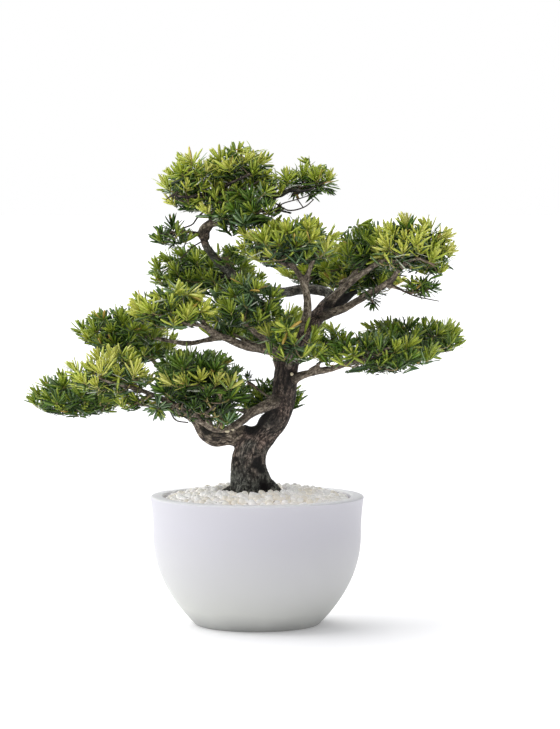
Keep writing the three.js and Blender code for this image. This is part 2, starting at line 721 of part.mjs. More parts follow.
// The twigs of a mass: one to every tuft, each from the nearest fork that is still free.
function planTwigs(mass, stem, limbs, random) {
  const count = Math.max(LEAST_TUFTS, Math.round(mass.reach[0] * mass.reach[1] / TUFT_AREA));
  const end = stem.point(1);
  const wood = FORKS.map((t) => ({ place: stem.point(t), reached: 0 }));
  const tufts = tuftPlaces(mass, count, random).filter((tuft) => owns(mass, tuft));
  tufts.sort((p, q) => p.distanceTo(end) - q.distanceTo(end));
  const twigs = [];
  tufts.forEach((tuft) => {
    const cost = (from) => from.place.distanceTo(tuft) + TRUNKWARD * from.reached;
    const ranked = [...wood].sort((p, q) => cost(p) - cost(q));
    const from = ranked.find((mark) => clearOf(limbs, mark.place, tuft, TWIG_RADII[0]));
    if (from) {
      const reached = from.reached + from.place.distanceTo(tuft);
      wood.push({ place: from.place.clone().lerp(tuft, FORK_SHARE), reached });
      wood.splice(wood.indexOf(from), 1);
      twigs.push({ root: from.place, tuft });
    }
  });
  return twigs;
}

// A tuft's own direction: onward from its twig, out from the mass's heart, and up to the light.
function tuftAxis(mass, root, tuft) {
  const outward = tuft.clone().sub(vec(mass.heart)).setZ(0).multiplyScalar(1 / mass.reach[0]);
  const onward = tuft.clone().sub(root).normalize().multiplyScalar(ONWARD);
  return onward.add(outward).add(new THREE.Vector3(0, 0, UPWARD)).normalize();
}

// A mass grown from its stem: the twigs first, then a tuft of leaves at the end of each.
function growMass(mass, stem, limbs, seed) {
  const random = seeded(seed);
  const twigs = planTwigs(mass, stem, limbs, random);
  let shape = tube(stem, 0, 1, STEM_SIDES, { rings: STEM_RINGS });
  twigs.forEach(({ root, tuft }) => {
    const twig = new Limb([[...root, TWIG_RADII[0]], [...tuft, TWIG_RADII[1]]]);
    shape = shape.add(tube(twig, 0, 1, TWIG_SIDES, { rings: 1 }));
  });
  const bare = twigs.map(({ root, tuft }) => ({ a: root, b: root.clone().lerp(tuft, TWIG_FREE) }));
  const grown = [...stem.stretches(0, 1), ...bare];
  twigs.forEach(({ root, tuft }) => {
    shape = shape.add(growTuft(mass, tuft, tuftAxis(mass, root, tuft), limbs, grown, random));
  });
  return largest(shape);
}

// ---------------------------------------------------------------------------------------------------
// The plant in its planter
// ---------------------------------------------------------------------------------------------------

const plant = new THREE.Group();
plant.add(node('planter', buildPlanter(), 'glaze'));
plant.add(node('soil', buildSoil(), 'soil'));
plant.add(node('pebbles', buildPebbles(), 'pebble'));

const limbPieces = buildLimbs();
limbPieces.forEach((piece, name) => plant.add(node(name, piece.shape, 'bark')));

const stems = MASSES.map((mass) => stemOf(mass, limbPieces));
const limbStretches = [...limbPieces.values()].flatMap((piece) => piece.stretches);
MASSES.forEach((mass, i) => {
  const otherStems = stems.filter((_, j) => j !== i).flatMap((stem) => stem.stretches(0, 1));
  const grown = growMass(mass, stems[i], [...limbStretches, ...otherStems], FIRST_SEED + i);
  plant.add(node(mass.name, grown, 'leaf'));
});

export default plant;
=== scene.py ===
"""A podocarpus trained as a bonsai, in a round white bowl planter dressed with pale pebbles.

The planter, soil, pebbles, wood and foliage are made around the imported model, in its frame: +Z up, the
origin at the centre of the planter's flat underside, the front of the tree towards -Y.
Growth is worked out in millimetres, and each mesh is made in metres.
"""

import json
import math

import bpy
import numpy as np
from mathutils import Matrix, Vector, noise

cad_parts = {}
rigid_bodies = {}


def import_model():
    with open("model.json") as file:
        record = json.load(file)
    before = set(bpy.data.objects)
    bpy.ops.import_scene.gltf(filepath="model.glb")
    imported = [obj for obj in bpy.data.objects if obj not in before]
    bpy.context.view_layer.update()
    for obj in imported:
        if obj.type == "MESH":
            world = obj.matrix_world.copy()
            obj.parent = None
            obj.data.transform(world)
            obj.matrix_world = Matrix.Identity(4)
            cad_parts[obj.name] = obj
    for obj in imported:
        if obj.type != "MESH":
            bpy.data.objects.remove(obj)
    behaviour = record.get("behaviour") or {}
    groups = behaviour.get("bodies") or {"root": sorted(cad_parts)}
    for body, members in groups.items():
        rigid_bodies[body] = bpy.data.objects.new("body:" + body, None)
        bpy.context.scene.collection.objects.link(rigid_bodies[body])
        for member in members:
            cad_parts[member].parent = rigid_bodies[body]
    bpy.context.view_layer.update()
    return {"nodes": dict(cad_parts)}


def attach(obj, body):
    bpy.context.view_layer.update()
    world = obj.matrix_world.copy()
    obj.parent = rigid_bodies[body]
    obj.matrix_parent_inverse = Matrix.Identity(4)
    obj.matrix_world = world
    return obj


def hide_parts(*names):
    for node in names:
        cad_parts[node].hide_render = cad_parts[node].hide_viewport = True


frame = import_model()

# -----------------------------------------------------------------------------------------------------
# Driving dimensions, in millimetres
# -----------------------------------------------------------------------------------------------------

# A millimetre in the frame's metres, the gap between a filling and its wall, the turn from one leaf of a
# shoot to the next, and a full turn, a little over.
MM = 0.001
CLEAR = 0.3
GOLDEN_TURN = math.pi * (3 - math.sqrt(5))
FULL_TURN = 6.3

# Planter: a bowl on a flat foot, with a soft shoulder and a thick lip that flares a little.
RIM_RADIUS = 300
PLANTER_HEIGHT = 362
FOOT_RADIUS = 174
FOOT_EDGE = 2.5
BELLY_RADIUS = 292
BELLY_HEIGHT = 260
BOWL_POWER = 2.2
WALL = 28
LIP_WIDTH = 37
LIP_ROUND = 7
LIP_STEPS = 6
FLOOR = 26
OPENING = RIM_RADIUS - LIP_WIDTH
PLANTER_SIDES = 128
BOWL_STEPS = 22
HOLLOW_STEPS = 10

# Soil: its top, how far out that is flat, its edge at the wall, how it falls to there, its rings and the
# radius of the innermost one, and its crumbs, which keep a margin to the wall.
SOIL_TOP = 366
SOIL_FLAT = 124
SOIL_EDGE = 328
SOIL_FALL_POWER = 1.5
SOIL_STEPS = 54
SOIL_CENTRE = 3
SOIL_CRUMB = 2.6
SOIL_MARGIN = 2
COARSE_CRUMB = 9
FINE_CRUMB = 4

# Pebbles: the bed's thickness at its hole and at the wall, and the ragged hole round the trunk's foot.
# Stones lie in offset rows, in layers, each told as how far its middle is from the bed's top and how far
# a stone strays from there. A stone is held off the wall by its margin, in halves of a stone, and one
# that starts just past the wall is drawn in.
PEBBLE_SEED = 5
BED_THICKNESS = 12
BED_EDGE_THICKNESS = 18
BED_HOLE = 110
HOLE_STRAY = 14
HOLE_CENTRE = (-9, 0)
HOLE_PATTERN = 3.7
STONE_SPACING = 22.5
STONE_HALVES = (11.2, 10.4, 9.6)
STONE_MARGIN = 1.1
STONE_OVER = 5
STONE_STRAY = 4.2
STONE_SIZES = (0.82, 1.12)
STONE_LUMPS = (0.9, 1.08)
STONE_TILT = 0.5
STONE_LAYERS = ((-16, 1.5), (-3.0, 3.6))
# Painted light: how brightly each stone glows, to lift the shade within the bed.
STONE_PAINTED_GLOW = 0.16

# Limbs. Each follows a smooth line through points of (x, y, z, radius) and starts inside its parent.
# "age" is the look of its bark: 0 is old, grey and deeply cracked, and 1 is young, tan and smooth.
# "dark" is how much darker its bark is all along; on the right crotch it is painted shade.
LIMBS = {
    "trunk": dict(age=0.3, way=[
        (-17, 0, 340, 60), (-17, 0, 392, 53), (-24, 0, 452, 46), (-14, 3, 496, 45), (18, 3, 538, 41),
        (56, 0, 583, 36), (75, -4, 646, 34), (83, 4, 720, 32), (112, 15, 797, 26), (150, 15, 842, 24),
        (193, 10, 890, 20)]),
    "low_left": dict(age=0.78, way=[
        (0, 0, 520, 30), (-40, 5, 524, 27), (-80, 10, 527, 26), (-116, 18, 522, 27.5), (-145, 30, 533, 21),
        (-176, 52, 570, 13), (-254, 104, 602, 10), (-376, 100, 617, 7)]),
    "low_back": dict(age=0.6, way=[(-160, 40, 546, 10), (-176, 84, 600, 8), (-172, 90, 664, 6)]),
    "left_back": dict(age=0.6, way=[
        (-110, 18, 518, 13), (-160, 100, 572, 10), (-240, 182, 654, 8), (-296, 218, 722, 6)]),
    "front": dict(age=0.8, way=[
        (72, -6, 636, 17), (22, -62, 616, 15.5), (-12, -95, 602, 13.5), (-46, -124, 577, 11),
        (-86, -148, 558, 9), (-120, -161, 562, 9), (-149, -170, 579, 8), (-183, -177, 604, 8),
        (-246, -180, 640, 7), (-330, -168, 672, 6)]),
    "low_centre": dict(age=0.8, way=[(-160, -172, 587, 7), (-168, -192, 606, 6), (-168, -198, 624, 5)]),
    "mid_left": dict(age=0.75, way=[
        (84, 6, 756, 14), (14, -50, 776, 13), (-30, -82, 785, 12), (-77, -106, 803, 10),
        (-118, -122, 823, 8), (-158, -134, 862, 6)]),
    "mid_left_back": dict(age=0.75, way=[
        (-100, -114, 815, 8), (-135, -98, 803, 7), (-191, -78, 792, 7), (-293, -26, 806, 5)]),
    "centre": dict(age=0.75, way=[
        (84, 4, 772, 11), (14, -44, 806, 9), (-26, -80, 846, 7), (-40, -100, 882, 6)]),
    "front_low": dict(age=0.7, way=[(84, 0, 722, 10), (92, -62, 738, 8), (92, -120, 772, 6)]),
    "back_low": dict(age=0.5, way=[
        (76, 0, 668, 13), (66, 96, 690, 11), (52, 190, 732, 9), (44, 250, 770, 6)]),
    "inner_rear": dict(age=0.6, way=[(44, 4, 580, 10), (40, 58, 586, 8), (38, 92, 600, 6)]),
    "upright": dict(age=0.85, way=[
        (118, 14, 804, 13), (138, -14, 860, 12), (140, -36, 911, 11), (126, -52, 964, 9),
        (96, -66, 1014, 7)]),
    "right_low": dict(age=0.85, way=[
        (82, -2, 676, 13), (122, -32, 700, 11), (214, -80, 724, 9), (270, -106, 744, 7)]),
    "right_back": dict(age=0.6, way=[
        (92, 10, 766, 13), (140, 62, 778, 11), (228, 116, 786, 9), (345, 146, 792, 7)]),
    "right_up": dict(age=0.8, way=[
        (172, 6, 866, 14), (234, -20, 883, 11.2), (289, -40, 914, 9.8), (343, -52, 946, 8.8),
        (376, -60, 969, 7.6), (393, -64, 1000, 6.6)]),
    "right_end": dict(age=0.7, way=[(352, -56, 953, 5), (384, -62, 947, 3.8), (408, -68, 936, 3)]),
    "right_mid": dict(age=0.85, way=[
        (186, 10, 882, 13), (222, 6, 926, 10.2), (258, 14, 962, 7.4), (292, 22, 1012, 5)]),
    "right_rear": dict(age=0.6, way=[(240, 8, 952, 11), (262, 70, 966, 9), (276, 130, 984, 7)]),
    "leader": dict(age=0.15, dark=0.16, way=[
        (178, 22, 872, 15), (206, 46, 920, 14), (143, 84, 938, 14), (60, 106, 928, 14),
        (-41, 105, 958, 13), (-120, 72, 1026, 12), (-150, 54, 1080, 11), (-128, 36, 1126, 10),
        (-116, 24, 1175, 8), (-118, 20, 1216, 6)]),
    "back": dict(age=0.5, way=[(100, 98, 932, 10), (122, 160, 938, 8), (146, 214, 962, 6)]),
    "back_left": dict(age=0.5, way=[(-66, 96, 980, 9), (-104, 138, 966, 7), (-134, 166, 960, 6)]),
    "top_right": dict(age=0.4, way=[
        (-124, 34, 1136, 9), (-36, 22, 1144, 9), (28, 12, 1186, 8), (78, 10, 1212, 6)]),
    "top_front": dict(age=0.5, way=[(-64, 24, 1137, 6), (-46, 0, 1137, 5), (-34, -22, 1144, 5)]),
    "top_mid": dict(age=0.5, way=[(-116, 24, 1178, 6), (-96, 22, 1214, 5), (-76, 20, 1248, 5)]),
    "small_left": dict(age=0.5, way=[(-150, 54, 1086, 6), (-176, 44, 1096, 5), (-197, 36, 1100, 4)]),
}

# Branches that carry the limbs on within the masses.
BRANCHES = {
    "upright_left": dict(age=0.85, way=[(104, -63, 1002, 7), (66, -86, 1034, 5.5), (34, -98, 1056, 4)]),
    "upright_low": dict(age=0.6, way=[(100, -64, 1004, 5), (58, -104, 1018, 3.4), (14, -124, 1034, 2.6)]),
    "upright_right": dict(age=0.85, way=[
        (130, -46, 946, 8), (147, -62, 1000, 6.5), (160, -78, 1030, 5), (174, -88, 1054, 4)]),
    "right_mid_on": dict(age=0.85, way=[
        (216, 6, 918, 9.6), (254, 4, 952, 9), (296, -8, 986, 8.4), (332, -30, 1012, 7.2),
        (358, -60, 1022, 6.4), (386, -84, 1018, 5.4)]),
    "right_up_on": dict(age=0.9, way=[
        (392, -64, 994, 7), (420, -90, 1020, 5.5), (450, -110, 1027, 4.5), (472, -120, 1018, 3.5)]),
    "right_low_on": dict(age=0.9, way=[
        (258, -102, 740, 7.5), (300, -126, 756, 6.5), (336, -150, 770, 5), (368, -166, 785, 3.6)]),
    "front_on": dict(age=0.95, way=[
        (-318, -170, 667, 6.5), (-360, -196, 682, 5.5), (-398, -224, 693, 4.5), (-428, -240, 706, 3.5)]),
    "front_twig": dict(age=0.9, way=[
        (-124, -162, 562, 6), (-138, -196, 602, 4.5), (-120, -226, 624, 3.6), (-100, -240, 642, 3)]),
    "front_fork": dict(age=0.9, way=[(-136, -192, 596, 4.5), (-150, -222, 622, 3.6), (-164, -240, 644, 3)]),
    "mid_left_on": dict(age=0.9, way=[
        (-112, -120, 820, 8), (-146, -154, 842, 6), (-188, -190, 850, 4.5), (-222, -210, 862, 3.5)]),
    # Painted shade: this branch in the crotch of the right boughs is dark all along.
    "right_crotch": dict(age=0.1, dark=1.0, way=[
        (196, 18, 880, 14), (228, 20, 900, 13), (256, 18, 920, 11), (280, 16, 936, 5)]),
    "leader_hook": dict(age=1.0, way=[
        (-149, 56, 1080, 12), (-148, 46, 1106, 12), (-130, 37, 1124, 12), (-104, 30, 1126, 11),
        (-66, 26, 1130, 8)]),
    "top_right_on": dict(age=0.2, dark=0.4, way=[
        (60, 10, 1204, 7), (96, -22, 1216, 5), (132, -44, 1214, 4), (160, -52, 1222, 3)]),
    "top_right_low": dict(age=0.2, dark=0.4, way=[
        (-24, 20, 1148, 5), (20, -10, 1158, 4), (60, -22, 1160, 3.4), (96, -28, 1152, 3)]),
    "top_mid_on": dict(age=0.3, dark=0.3, way=[
        (-104, 22, 1206, 6), (-84, -20, 1230, 5), (-50, -48, 1246, 4), (-16, -60, 1262, 3.4)]),
    "top_left_on": dict(age=0.3, dark=0.3, way=[
        (-116, 22, 1196, 6), (-150, -16, 1204, 5), (-196, -44, 1196, 4), (-236, -56, 1204, 3.2)]),
    "hook_spray": dict(age=0.4, way=[(-117, 24, 1168, 6), (-118, -4, 1162, 5), (-116, -26, 1160, 4)]),
    "mid_back_spray": dict(age=0.8, way=[(6, -56, 778, 7), (-38, -26, 800, 5), (-68, -4, 816, 4)]),
    "gap_spray": dict(age=0.8, way=[(-284, -176, 656, 6), (-310, -190, 646, 4.5), (-330, -196, 640, 3.6)]),
    "hanging_spray": dict(age=0.8, way=[(-244, -180, 638, 5), (-258, -196, 628, 3.6), (-268, -206, 616, 3)]),
    "sprig": dict(age=0.8, way=[(62, 20, 622, 6), (20, 58, 642, 4), (-6, 62, 662, 3)]),
    "right_spray": dict(age=0.8, way=[(142, -42, 706, 7), (168, -70, 730, 5), (182, -84, 752, 4)]),
    "under_spray": dict(age=0.8, way=[(300, -42, 920, 5), (312, -58, 916, 3.6), (318, -66, 910, 3)]),
    "dip_spray": dict(age=0.8, way=[(-114, -160, 562, 5), (-104, -176, 572, 4), (-98, -184, 584, 3)]),
    "bridge_spray": dict(age=0.3, way=[(14, 14, 1180, 6), (22, 6, 1200, 5), (28, 2, 1216, 4)]),
    "dip_back_spray": dict(age=0.8, way=[(-22, -98, 601, 7), (-46, -78, 606, 5), (-66, -70, 606, 4)]),
    "crown_spray": dict(age=0.3, way=[(-114, 20, 1192, 6), (-98, 2, 1202, 5), (-84, -8, 1212, 4)]),
    "hook_cover_spray": dict(age=0.3, way=[(-76, 28, 1130, 7), (-66, 6, 1128, 5), (-64, -12, 1124, 4)]),
    "hook_under_spray": dict(age=0.3, way=[(-46, 104, 962, 7), (-70, 92, 988, 5), (-82, 78, 1010, 4)]),
}
WOOD = {**LIMBS, **BRANCHES}

# Thin bare twigs that hang below and between the masses: the points of each. Most have dark bark, and
# a few are tan.
THIN_TWIGS = {
    "small_left_low": [
        (-164, 52, 1093, 3.0), (-183, 46, 1082, 2.4), (-199, 40, 1072, 2.0), (-206, 36, 1058, 1.6)],
    "small_left_long": [
        (-149, 28, 1157, 3.2), (-169, 34, 1138, 2.8), (-181, 36, 1121, 2.6), (-209, 34, 1110, 2.3),
        (-251, 28, 1093, 2.0), (-272, 26, 1097, 1.8), (-292, 24, 1116, 1.5)],
    "hook_end": [(-150, 70, 1076, 2.6), (-186, 60, 1054, 2.2), (-200, 52, 1039, 1.9), (-216, 46, 1023, 1.6)],
    "top_right_low": [
        (31, -10, 1189, 3.0), (58, -20, 1176, 2.6), (88, -30, 1160, 2.2), (133, -36, 1170, 1.9),
        (158, -40, 1191, 1.6)],
    "top_right_cross": [
        (0, -26, 1122, 2.8), (19, -30, 1132, 2.4), (42, -30, 1155, 2.2), (68, -34, 1177, 2.0),
        (113, -38, 1191, 1.8), (165, -44, 1208, 1.5)],
    "top_right_link": [(109, -24, 1198, 2.2), (118, -30, 1183, 1.9), (128, -34, 1169, 1.6)],
    "top_right_under": [
        (97, -16, 1204, 3.0), (136, -26, 1214, 2.4), (170, -34, 1230, 2.0), (192, -38, 1241, 1.6)],
    "top_left_loop": [(-238, -62, 1200, 2.0), (-219, -58, 1189, 1.8), (-195, -52, 1183, 1.6)],
    "top_left_end": [(-219, -54, 1212, 2.6), (-238, -62, 1200, 2.2), (-252, -66, 1190, 1.6)],
    "crown_right": [
        (-90, -30, 1196, 3.4), (-47, -62, 1214, 3.0), (-19, -70, 1227, 2.6), (6, -76, 1242, 1.8)],
    "right_end_arch": [
        (378, -62, 952, 3.2), (412, -72, 934, 2.6), (438, -78, 923, 2.2), (474, -82, 915, 1.8),
        (505, -84, 909, 1.5)],
    "right_end_side": [(412, -72, 934, 2.2), (424, -84, 959, 1.8), (443, -88, 972, 1.5)],
    "right_end_fork": [(438, -78, 923, 1.8), (454, -84, 932, 1.6), (481, -90, 944, 1.4)],
    "front_tan": [
        (-95, -152, 557, 3.4), (-111, -196, 596, 3.0), (-124, -226, 626, 2.6), (-142, -246, 649, 2.0)],
    "front_tan_side": [(-119, -218, 614, 2.6), (-102, -240, 643, 2.2), (-91, -256, 671, 1.7)],
    "low_stub": [(-248, 100, 600, 3.2), (-244, 72, 588, 2.6), (-230, 60, 568, 2.2), (-195, 50, 562, 1.8)],
}
TAN_TWIGS = ("front_tan", "front_tan_side")
DARK_TWIG_TINT = (72, 62, 54)
THIN_STEP = 9
THIN_SIDES = 6

# Old pruning cuts, pale against the bark: centre, and half the size each way.
CUTS = (((97, -30, 704), (5, 4, 5)), ((-81, -158, 554), (7, 4, 4)), ((-66, -154, 558), (4, 3, 3)))
CUT_TINT = (228, 216, 184)

# Masses of foliage: the limb whose tip feeds each one, its heart, its reach to each side, its vigour,
# which is how much of it is fresh yellow-green growth, and how much of the rest has a blue-green bloom.
MASSES = {
    "top_left": ("leader", (-182, 20, 1246), (104, 98, 88), 0.62, 0.15),
    "top_mid": ("top_mid", (-52, 15, 1292), (102, 104, 60), 0.62, 0.12),
    "top_right": ("top_right", (136, 10, 1246), (106, 100, 62), 0.4, 0.2),
    "top_front": ("top_front", (-10, -60, 1176), (96, 92, 62), 0.0, 0.3),
    "small_left": ("small_left", (-236, 28, 1110), (72, 66, 56), 0.1, 0.1),
    "back_left": ("back_left", (-146, 184, 992), (166, 122, 76), 0.22, 0.05),
    "centre_right": ("upright", (82, -76, 1080), (150, 120, 76), 0.5, 0.75),
    "right_up": ("right_up", (430, -62, 1070), (130, 120, 84), 0.74, 0.4),
    "right_inner": ("right_mid", (304, 20, 1062), (92, 108, 72), 0.25, 0.15),
    "right_end": ("right_end", (454, -62, 948), (70, 64, 34), 0.3, 0.1),
    "right_rear": ("right_rear", (294, 186, 1000), (128, 110, 82), 0.45, 0.1),
    "centre": ("centre", (-26, -128, 920), (104, 104, 84), 0.24, 0.5),
    "mid_left": ("mid_left", (-222, -148, 904), (136, 118, 66), 0.6, 0.3),
    "left_high": ("mid_left_back", (-390, 0, 838), (132, 122, 66), 0.2, 0.15),
    "low_tip": ("low_left", (-506, 60, 648), (146, 122, 68), 0.14, 0.15),
    "low_front": ("front", (-398, -166, 724), (128, 112, 68), 0.8, 0.3),
    "low_centre": ("low_centre", (-164, -200, 688), (146, 116, 106), -0.2, 0.2),
    "low_back": ("low_back", (-170, 74, 712), (134, 122, 66), 0.08, 0.1),
    "left_rear": ("left_back", (-346, 232, 780), (128, 118, 60), 0.25, 0.1),
    "right_low": ("right_low", (330, -126, 774), (172, 112, 62), 0.16, 0.35),
    "right_back": ("right_back", (448, 148, 808), (166, 126, 56), 0.15, 0.05),
    "front": ("front_low", (92, -176, 810), (102, 84, 66), 0.42, 0.5),
    "inner_rear": ("inner_rear", (34, 126, 632), (106, 84, 52), 0.1, 0.05),
    "rear": ("back", (172, 276, 1006), (120, 116, 68), 0.55, 0.1),
    "rear_low": ("back_low", (50, 306, 828), (146, 120, 66), 0.4, 0.1),
}

# Small sprays that fill in along the limbs between the masses, told in the same way.
SPRAYS = {
    "hook": ("hook_spray", (-112, -52, 1184), (76, 62, 52), 0.6, 0.2),
    "mid_back": ("mid_back_spray", (-96, 12, 846), (66, 60, 46), 0.15, 0.3),
    "gap": ("gap_spray", (-330, -198, 650), (66, 50, 34), 0.4, 0.4),
    "hanging": ("hanging_spray", (-268, -214, 618), (56, 56, 54), 0.1, 0.5),
    "sprig": ("sprig", (-26, 62, 688), (44, 44, 44), 0.0, 0.1),
    "right": ("right_spray", (200, -80, 798), (84, 66, 52), 0.3, 0.3),
    "under": ("under_spray", (320, -70, 906), (52, 50, 50), 0.1, 0.2),
    "dip": ("dip_spray", (-98, -196, 604), (62, 46, 42), -0.05, 0.3),
    "bridge": ("bridge_spray", (32, -4, 1236), (76, 66, 42), 0.45, 0.2),
    "low_row": ("front_twig", (-158, -258, 698), (124, 46, 42), 0.85, 0.2),
    "dip_back": ("dip_back_spray", (-102, -70, 609), (64, 56, 50), 0.05, 0.3),
    "crown": ("crown_spray", (-64, -16, 1228), (62, 58, 36), 0.6, 0.15),
    "hook_under": ("hook_under_spray", (-85, 60, 1038), (58, 50, 36), 0.2, 0.1),
    "right_tip": ("right_up_on", (488, -66, 1017), (62, 64, 36), 0.55, 0.3),
    "hook_cover": ("hook_cover_spray", (-64, -40, 1130), (58, 50, 36), 0.05, 0.35),
}
GROWTH = {**MASSES, **SPRAYS}
HEARTS = np.array([heart for _, heart, _, _, _ in GROWTH.values()], float)
REACHES = np.array([reach for _, _, reach, _, _ in GROWTH.values()], float)

# Root flare: surface roots run out from the trunk's foot, each at a bearing in degrees and of a size.
GROUND = SOIL_TOP + CLEAR
FOOT = (-17, 0)
ROOTS = ((-25, 0.62), (40, 0.4), (110, 0.45), (185, 0.3), (250, 0.42))
FLARE_HEIGHT = 30
ROOT_SHARPNESS = 8

# Wood: each limb is a tube with a swollen collar at its start, and all are fused to one skin. BLEND is how
# gently the looks of two limbs run into each other. Near the soil the bark looks older. A limb's length is
# measured by samples of each of its spans, and its pattern starts a gap further on than the last one's.
LIMB_SAMPLES = 60
LIMB_STEP = 4
LIMB_SIDES = 40
COLLAR = 0.34
COLLAR_LENGTH = 26
SKIN = 0.3
VOXEL = 2.92
SOFTENING = 4
BLEND = 4
PATTERN_GAP = 1000
AGED_FOOT = 0.3
AGED_HEIGHT = 70
# Patterns of the bark's relief: how wide and how long the marks are, and where each pattern starts.
FIBRE = (10, 52, 0)
FLAKE = (6, 15, 40)
PLATE = (24, 44, 80)
MUSCLE = (46, 170, 120)
KNOB = (22, 46, 160)
# How far plates, muscles, flakes and knobs rise, how deep and wide cracks are, the radius from which a
# limb is fully rough, and how much painted shade darkens a knot hole.
PLATE_RISE = 2.0
MUSCLE_RISE = 5.5
FLAKE_RISE = 0.8
KNOB_RISE = 2.2
CRACK_DEPTH = 2.1
CRACK_WIDTH = 0.1
ROUGH_RADIUS = 30
HOLLOW_SHADE = 1.6
# Knot holes and the crevice between two roots: centre, width to each side, and depth.
HOLLOWS = (
    ((-58, -34, 466), (5, 20, 7), 8),
    ((-52, -36, 453), (4, 20, 5), 7),
    ((20, -52, 392), (12, 26, 20), 13),
    ((-66, -30, 372), (10, 14, 12), 6),
    ((-2, -8, 564), (17, 50, 12), 13),
)
# Painted shade on the bark: darker on the sides that face each way, under the limbs and away from the light,
# and in patches at crotches, recesses and shaded places, each a centre, a width and a strength.
SHADED_SIDES = (((0, 0, -1), 0.34), ((0.92, 0.39, 0), 0.4))
SHADE_PATCHES = (
    ((-14, -26, 556), 26, 1), ((14, -28, 582), 26, 1), ((34, -28, 606), 22, 1), ((4, -44, 456), 19, 1),
    ((18, -42, 440), 18, 1), ((24, -52, 394), 13, 1), ((-96, -8, 545), 18, 1), ((-140, 12, 548), 20, 1),
    ((196, 4, 886), 20, 1), ((232, 12, 912), 14, 1), ((84, -20, 702), 76, 0.44), ((42, -36, 576), 38, 0.6),
    ((282, -46, 918), 32, 0.42), ((200, 0, 894), 40, 0.56), ((70, -34, 638), 44, 0.42),
)

# Growth inside a mass: a stem carries on from the bough's tip to just under the heart, and twigs leave it
# and each other at forks. TRUNKWARD is how much a fork's way back to the stem counts against it. A twig is
# the thicker the more tufts it carries, and green from one of its stations on.
NEAR_TIP = 0.998
STEM_INSIDE = 6
STEM_STATIONS = 14
STEM_SIDES = 8
STEM_END_RADIUS = 3.6
STEM_DROP = 0.34
STEM_FIRST = 2
STEM_SWING = 0.4
STEM_FORKS = 14
FORKS_FROM = 0.3
TWIG_FORKS = (0.35, 0.55, 0.75)
TWIG_LEAVE = 0.3
TWIG_RISE = 0.45
TRUNKWARD = 0.3
FIRST_SEED = 100
TIP_RADIUS = 1.5
TWIG_STATIONS = 7
TWIG_SIDES = 5
GREEN_FROM = 4
PIPE_POWER = 0.38

# A mass that reaches less than this to any side has smaller leaves and tufts.
FULL_SIZE_REACH = 42

# Tufts. A pad has a canopy of tufts that stand up to the light, a skirt of older ones that lean out
# under its rim, and shaded ones within. A spacing is between the middles of tufts.
CANOPY = dict(tries=1800, spacing=38, reach=46, lean=0.95, lift=0.95, low=-0.4)
SKIRT = dict(tries=500, spacing=52, reach=44, lean=1.0, lift=-0.5, low=-1.0, high=-0.4)
INSIDE = dict(tries=600, spacing=42, depth=0.7, rise=0.4, lift=0.5, stray=0.3)
# Masses whose canopy goes all round under them, and how low it then starts.
FULL = ("top_left", "top_mid", "top_front", "centre", "low_centre", "front", *SPRAYS)
FULL_LOW = -0.9
# Masses that differ: how high the canopy of one goes, which are flat from below and from what height,
# and how much further apart the tufts of one stand.
CAPS = {"low_centre": 0.5}
FLAT = ("top_right", "right_end")
FLAT_LOW = -0.12
SPARSE = {"small_left": 1.25}
# Sprays of one tuft: the way it points and its scale.
SINGLES = {
    "hanging": ((0.1, -0.9, -0.35), 0.9),
    "under": ((-0.1, -0.8, -0.6), 0.62),
    "sprig": ((0.1, -0.5, 0.85), 0.55),
}
# How much nearer a tuft is to its own heart than to a neighbour's, the shares of the reach between which
# its leaves end, the lobes of that ragged edge, the stray of its lean, and how clear of wood it stands.
BORDER = 0.035
EDGE = (0.76, 1.1)
LOBE_SIZE = 48
LOBE_DEPTH = 0.8
LOBE_STRAY = 0.16
AXIS_STRAY = 0.22
TUFT_CLEAR = 6

# A grower thins what hides a main limb from the front: how far along each such limb, and how clear
# of it on each side leaves in front of it stay. The bare twigs that show are cleared in the same way.
SHOWN = (
    ("front", 0.0, 1.0), ("upright", 0.0, 1.0), ("right_up", 0.0, 0.9), ("right_mid", 0.0, 0.6),
    ("mid_left", 0.0, 0.8), ("mid_left_back", 0.1, 0.85), ("centre", 0.3, 0.8), ("leader", 0.1, 0.3),
    ("leader", 0.48, 0.76), ("low_left", 0.0, 0.86), ("right_low", 0.0, 1.0),
    ("upright_left", 0.0, 0.8), ("upright_low", 0.1, 0.8), ("upright_right", 0.0, 0.8),
    ("right_mid_on", 0.0, 1.0), ("right_up_on", 0.0, 0.8), ("right_low_on", 0.0, 0.9),
    ("front_on", 0.0, 0.9), ("front_twig", 0.0, 0.8), ("mid_left_on", 0.0, 0.7),
    ("top_right_low", 0.2, 1.0), ("top_right_on", 0.2, 0.8), ("top_mid_on", 0.2, 0.7),
    ("top_left_on", 0.3, 0.9),
)
SHOWN_TWIGS = ("front_tan", "front_tan_side", "right_end_arch", "top_right_low", "small_left_long")
SHOWN_MARGIN = 2
SHOWN_SHARE = 0.85

# Leaves: the numbers run from a tuft's oldest, lowest leaf to its youngest, at the tip. The spread is the
# lean from the tuft's axis, in degrees, of the old leaves and then of the young. A stray is a random part.
# ASIDE is the slanting way that bearings round a tuft's axis are counted from. A leaf is left out where it
# ends past TIP_LIMIT of the reach, or where its tip or its middle is too near to wood.
LEAVES_PER_TUFT = 36
YOUNG_FROM = 0.55
SHOOT = 36
LEAF_LENGTH = (54, 44)
LEAF_WIDTH = (8.6, 8.4)
LEAF_SPREAD = (112, 66, 62, 12)
LEAF_CURL = (-0.42, -0.02)
LEAF_STATIONS = ((0.24, 0.72), (0.6, 1.0), (0.88, 0.74))
LEAF_RIDGE = 0.15
RIB_WIDTH = 0.18
LEAF_MIDDLE = 0.55
TUFT_SIZES = (0.84, 1.12)
LENGTH_SIZES = (0.84, 1.1)
WIDTH_SIZES = (0.86, 1.1)
SHOOT_BARE_FROM = 0.85
ASIDE = (0.31, 0.87, 0.38)
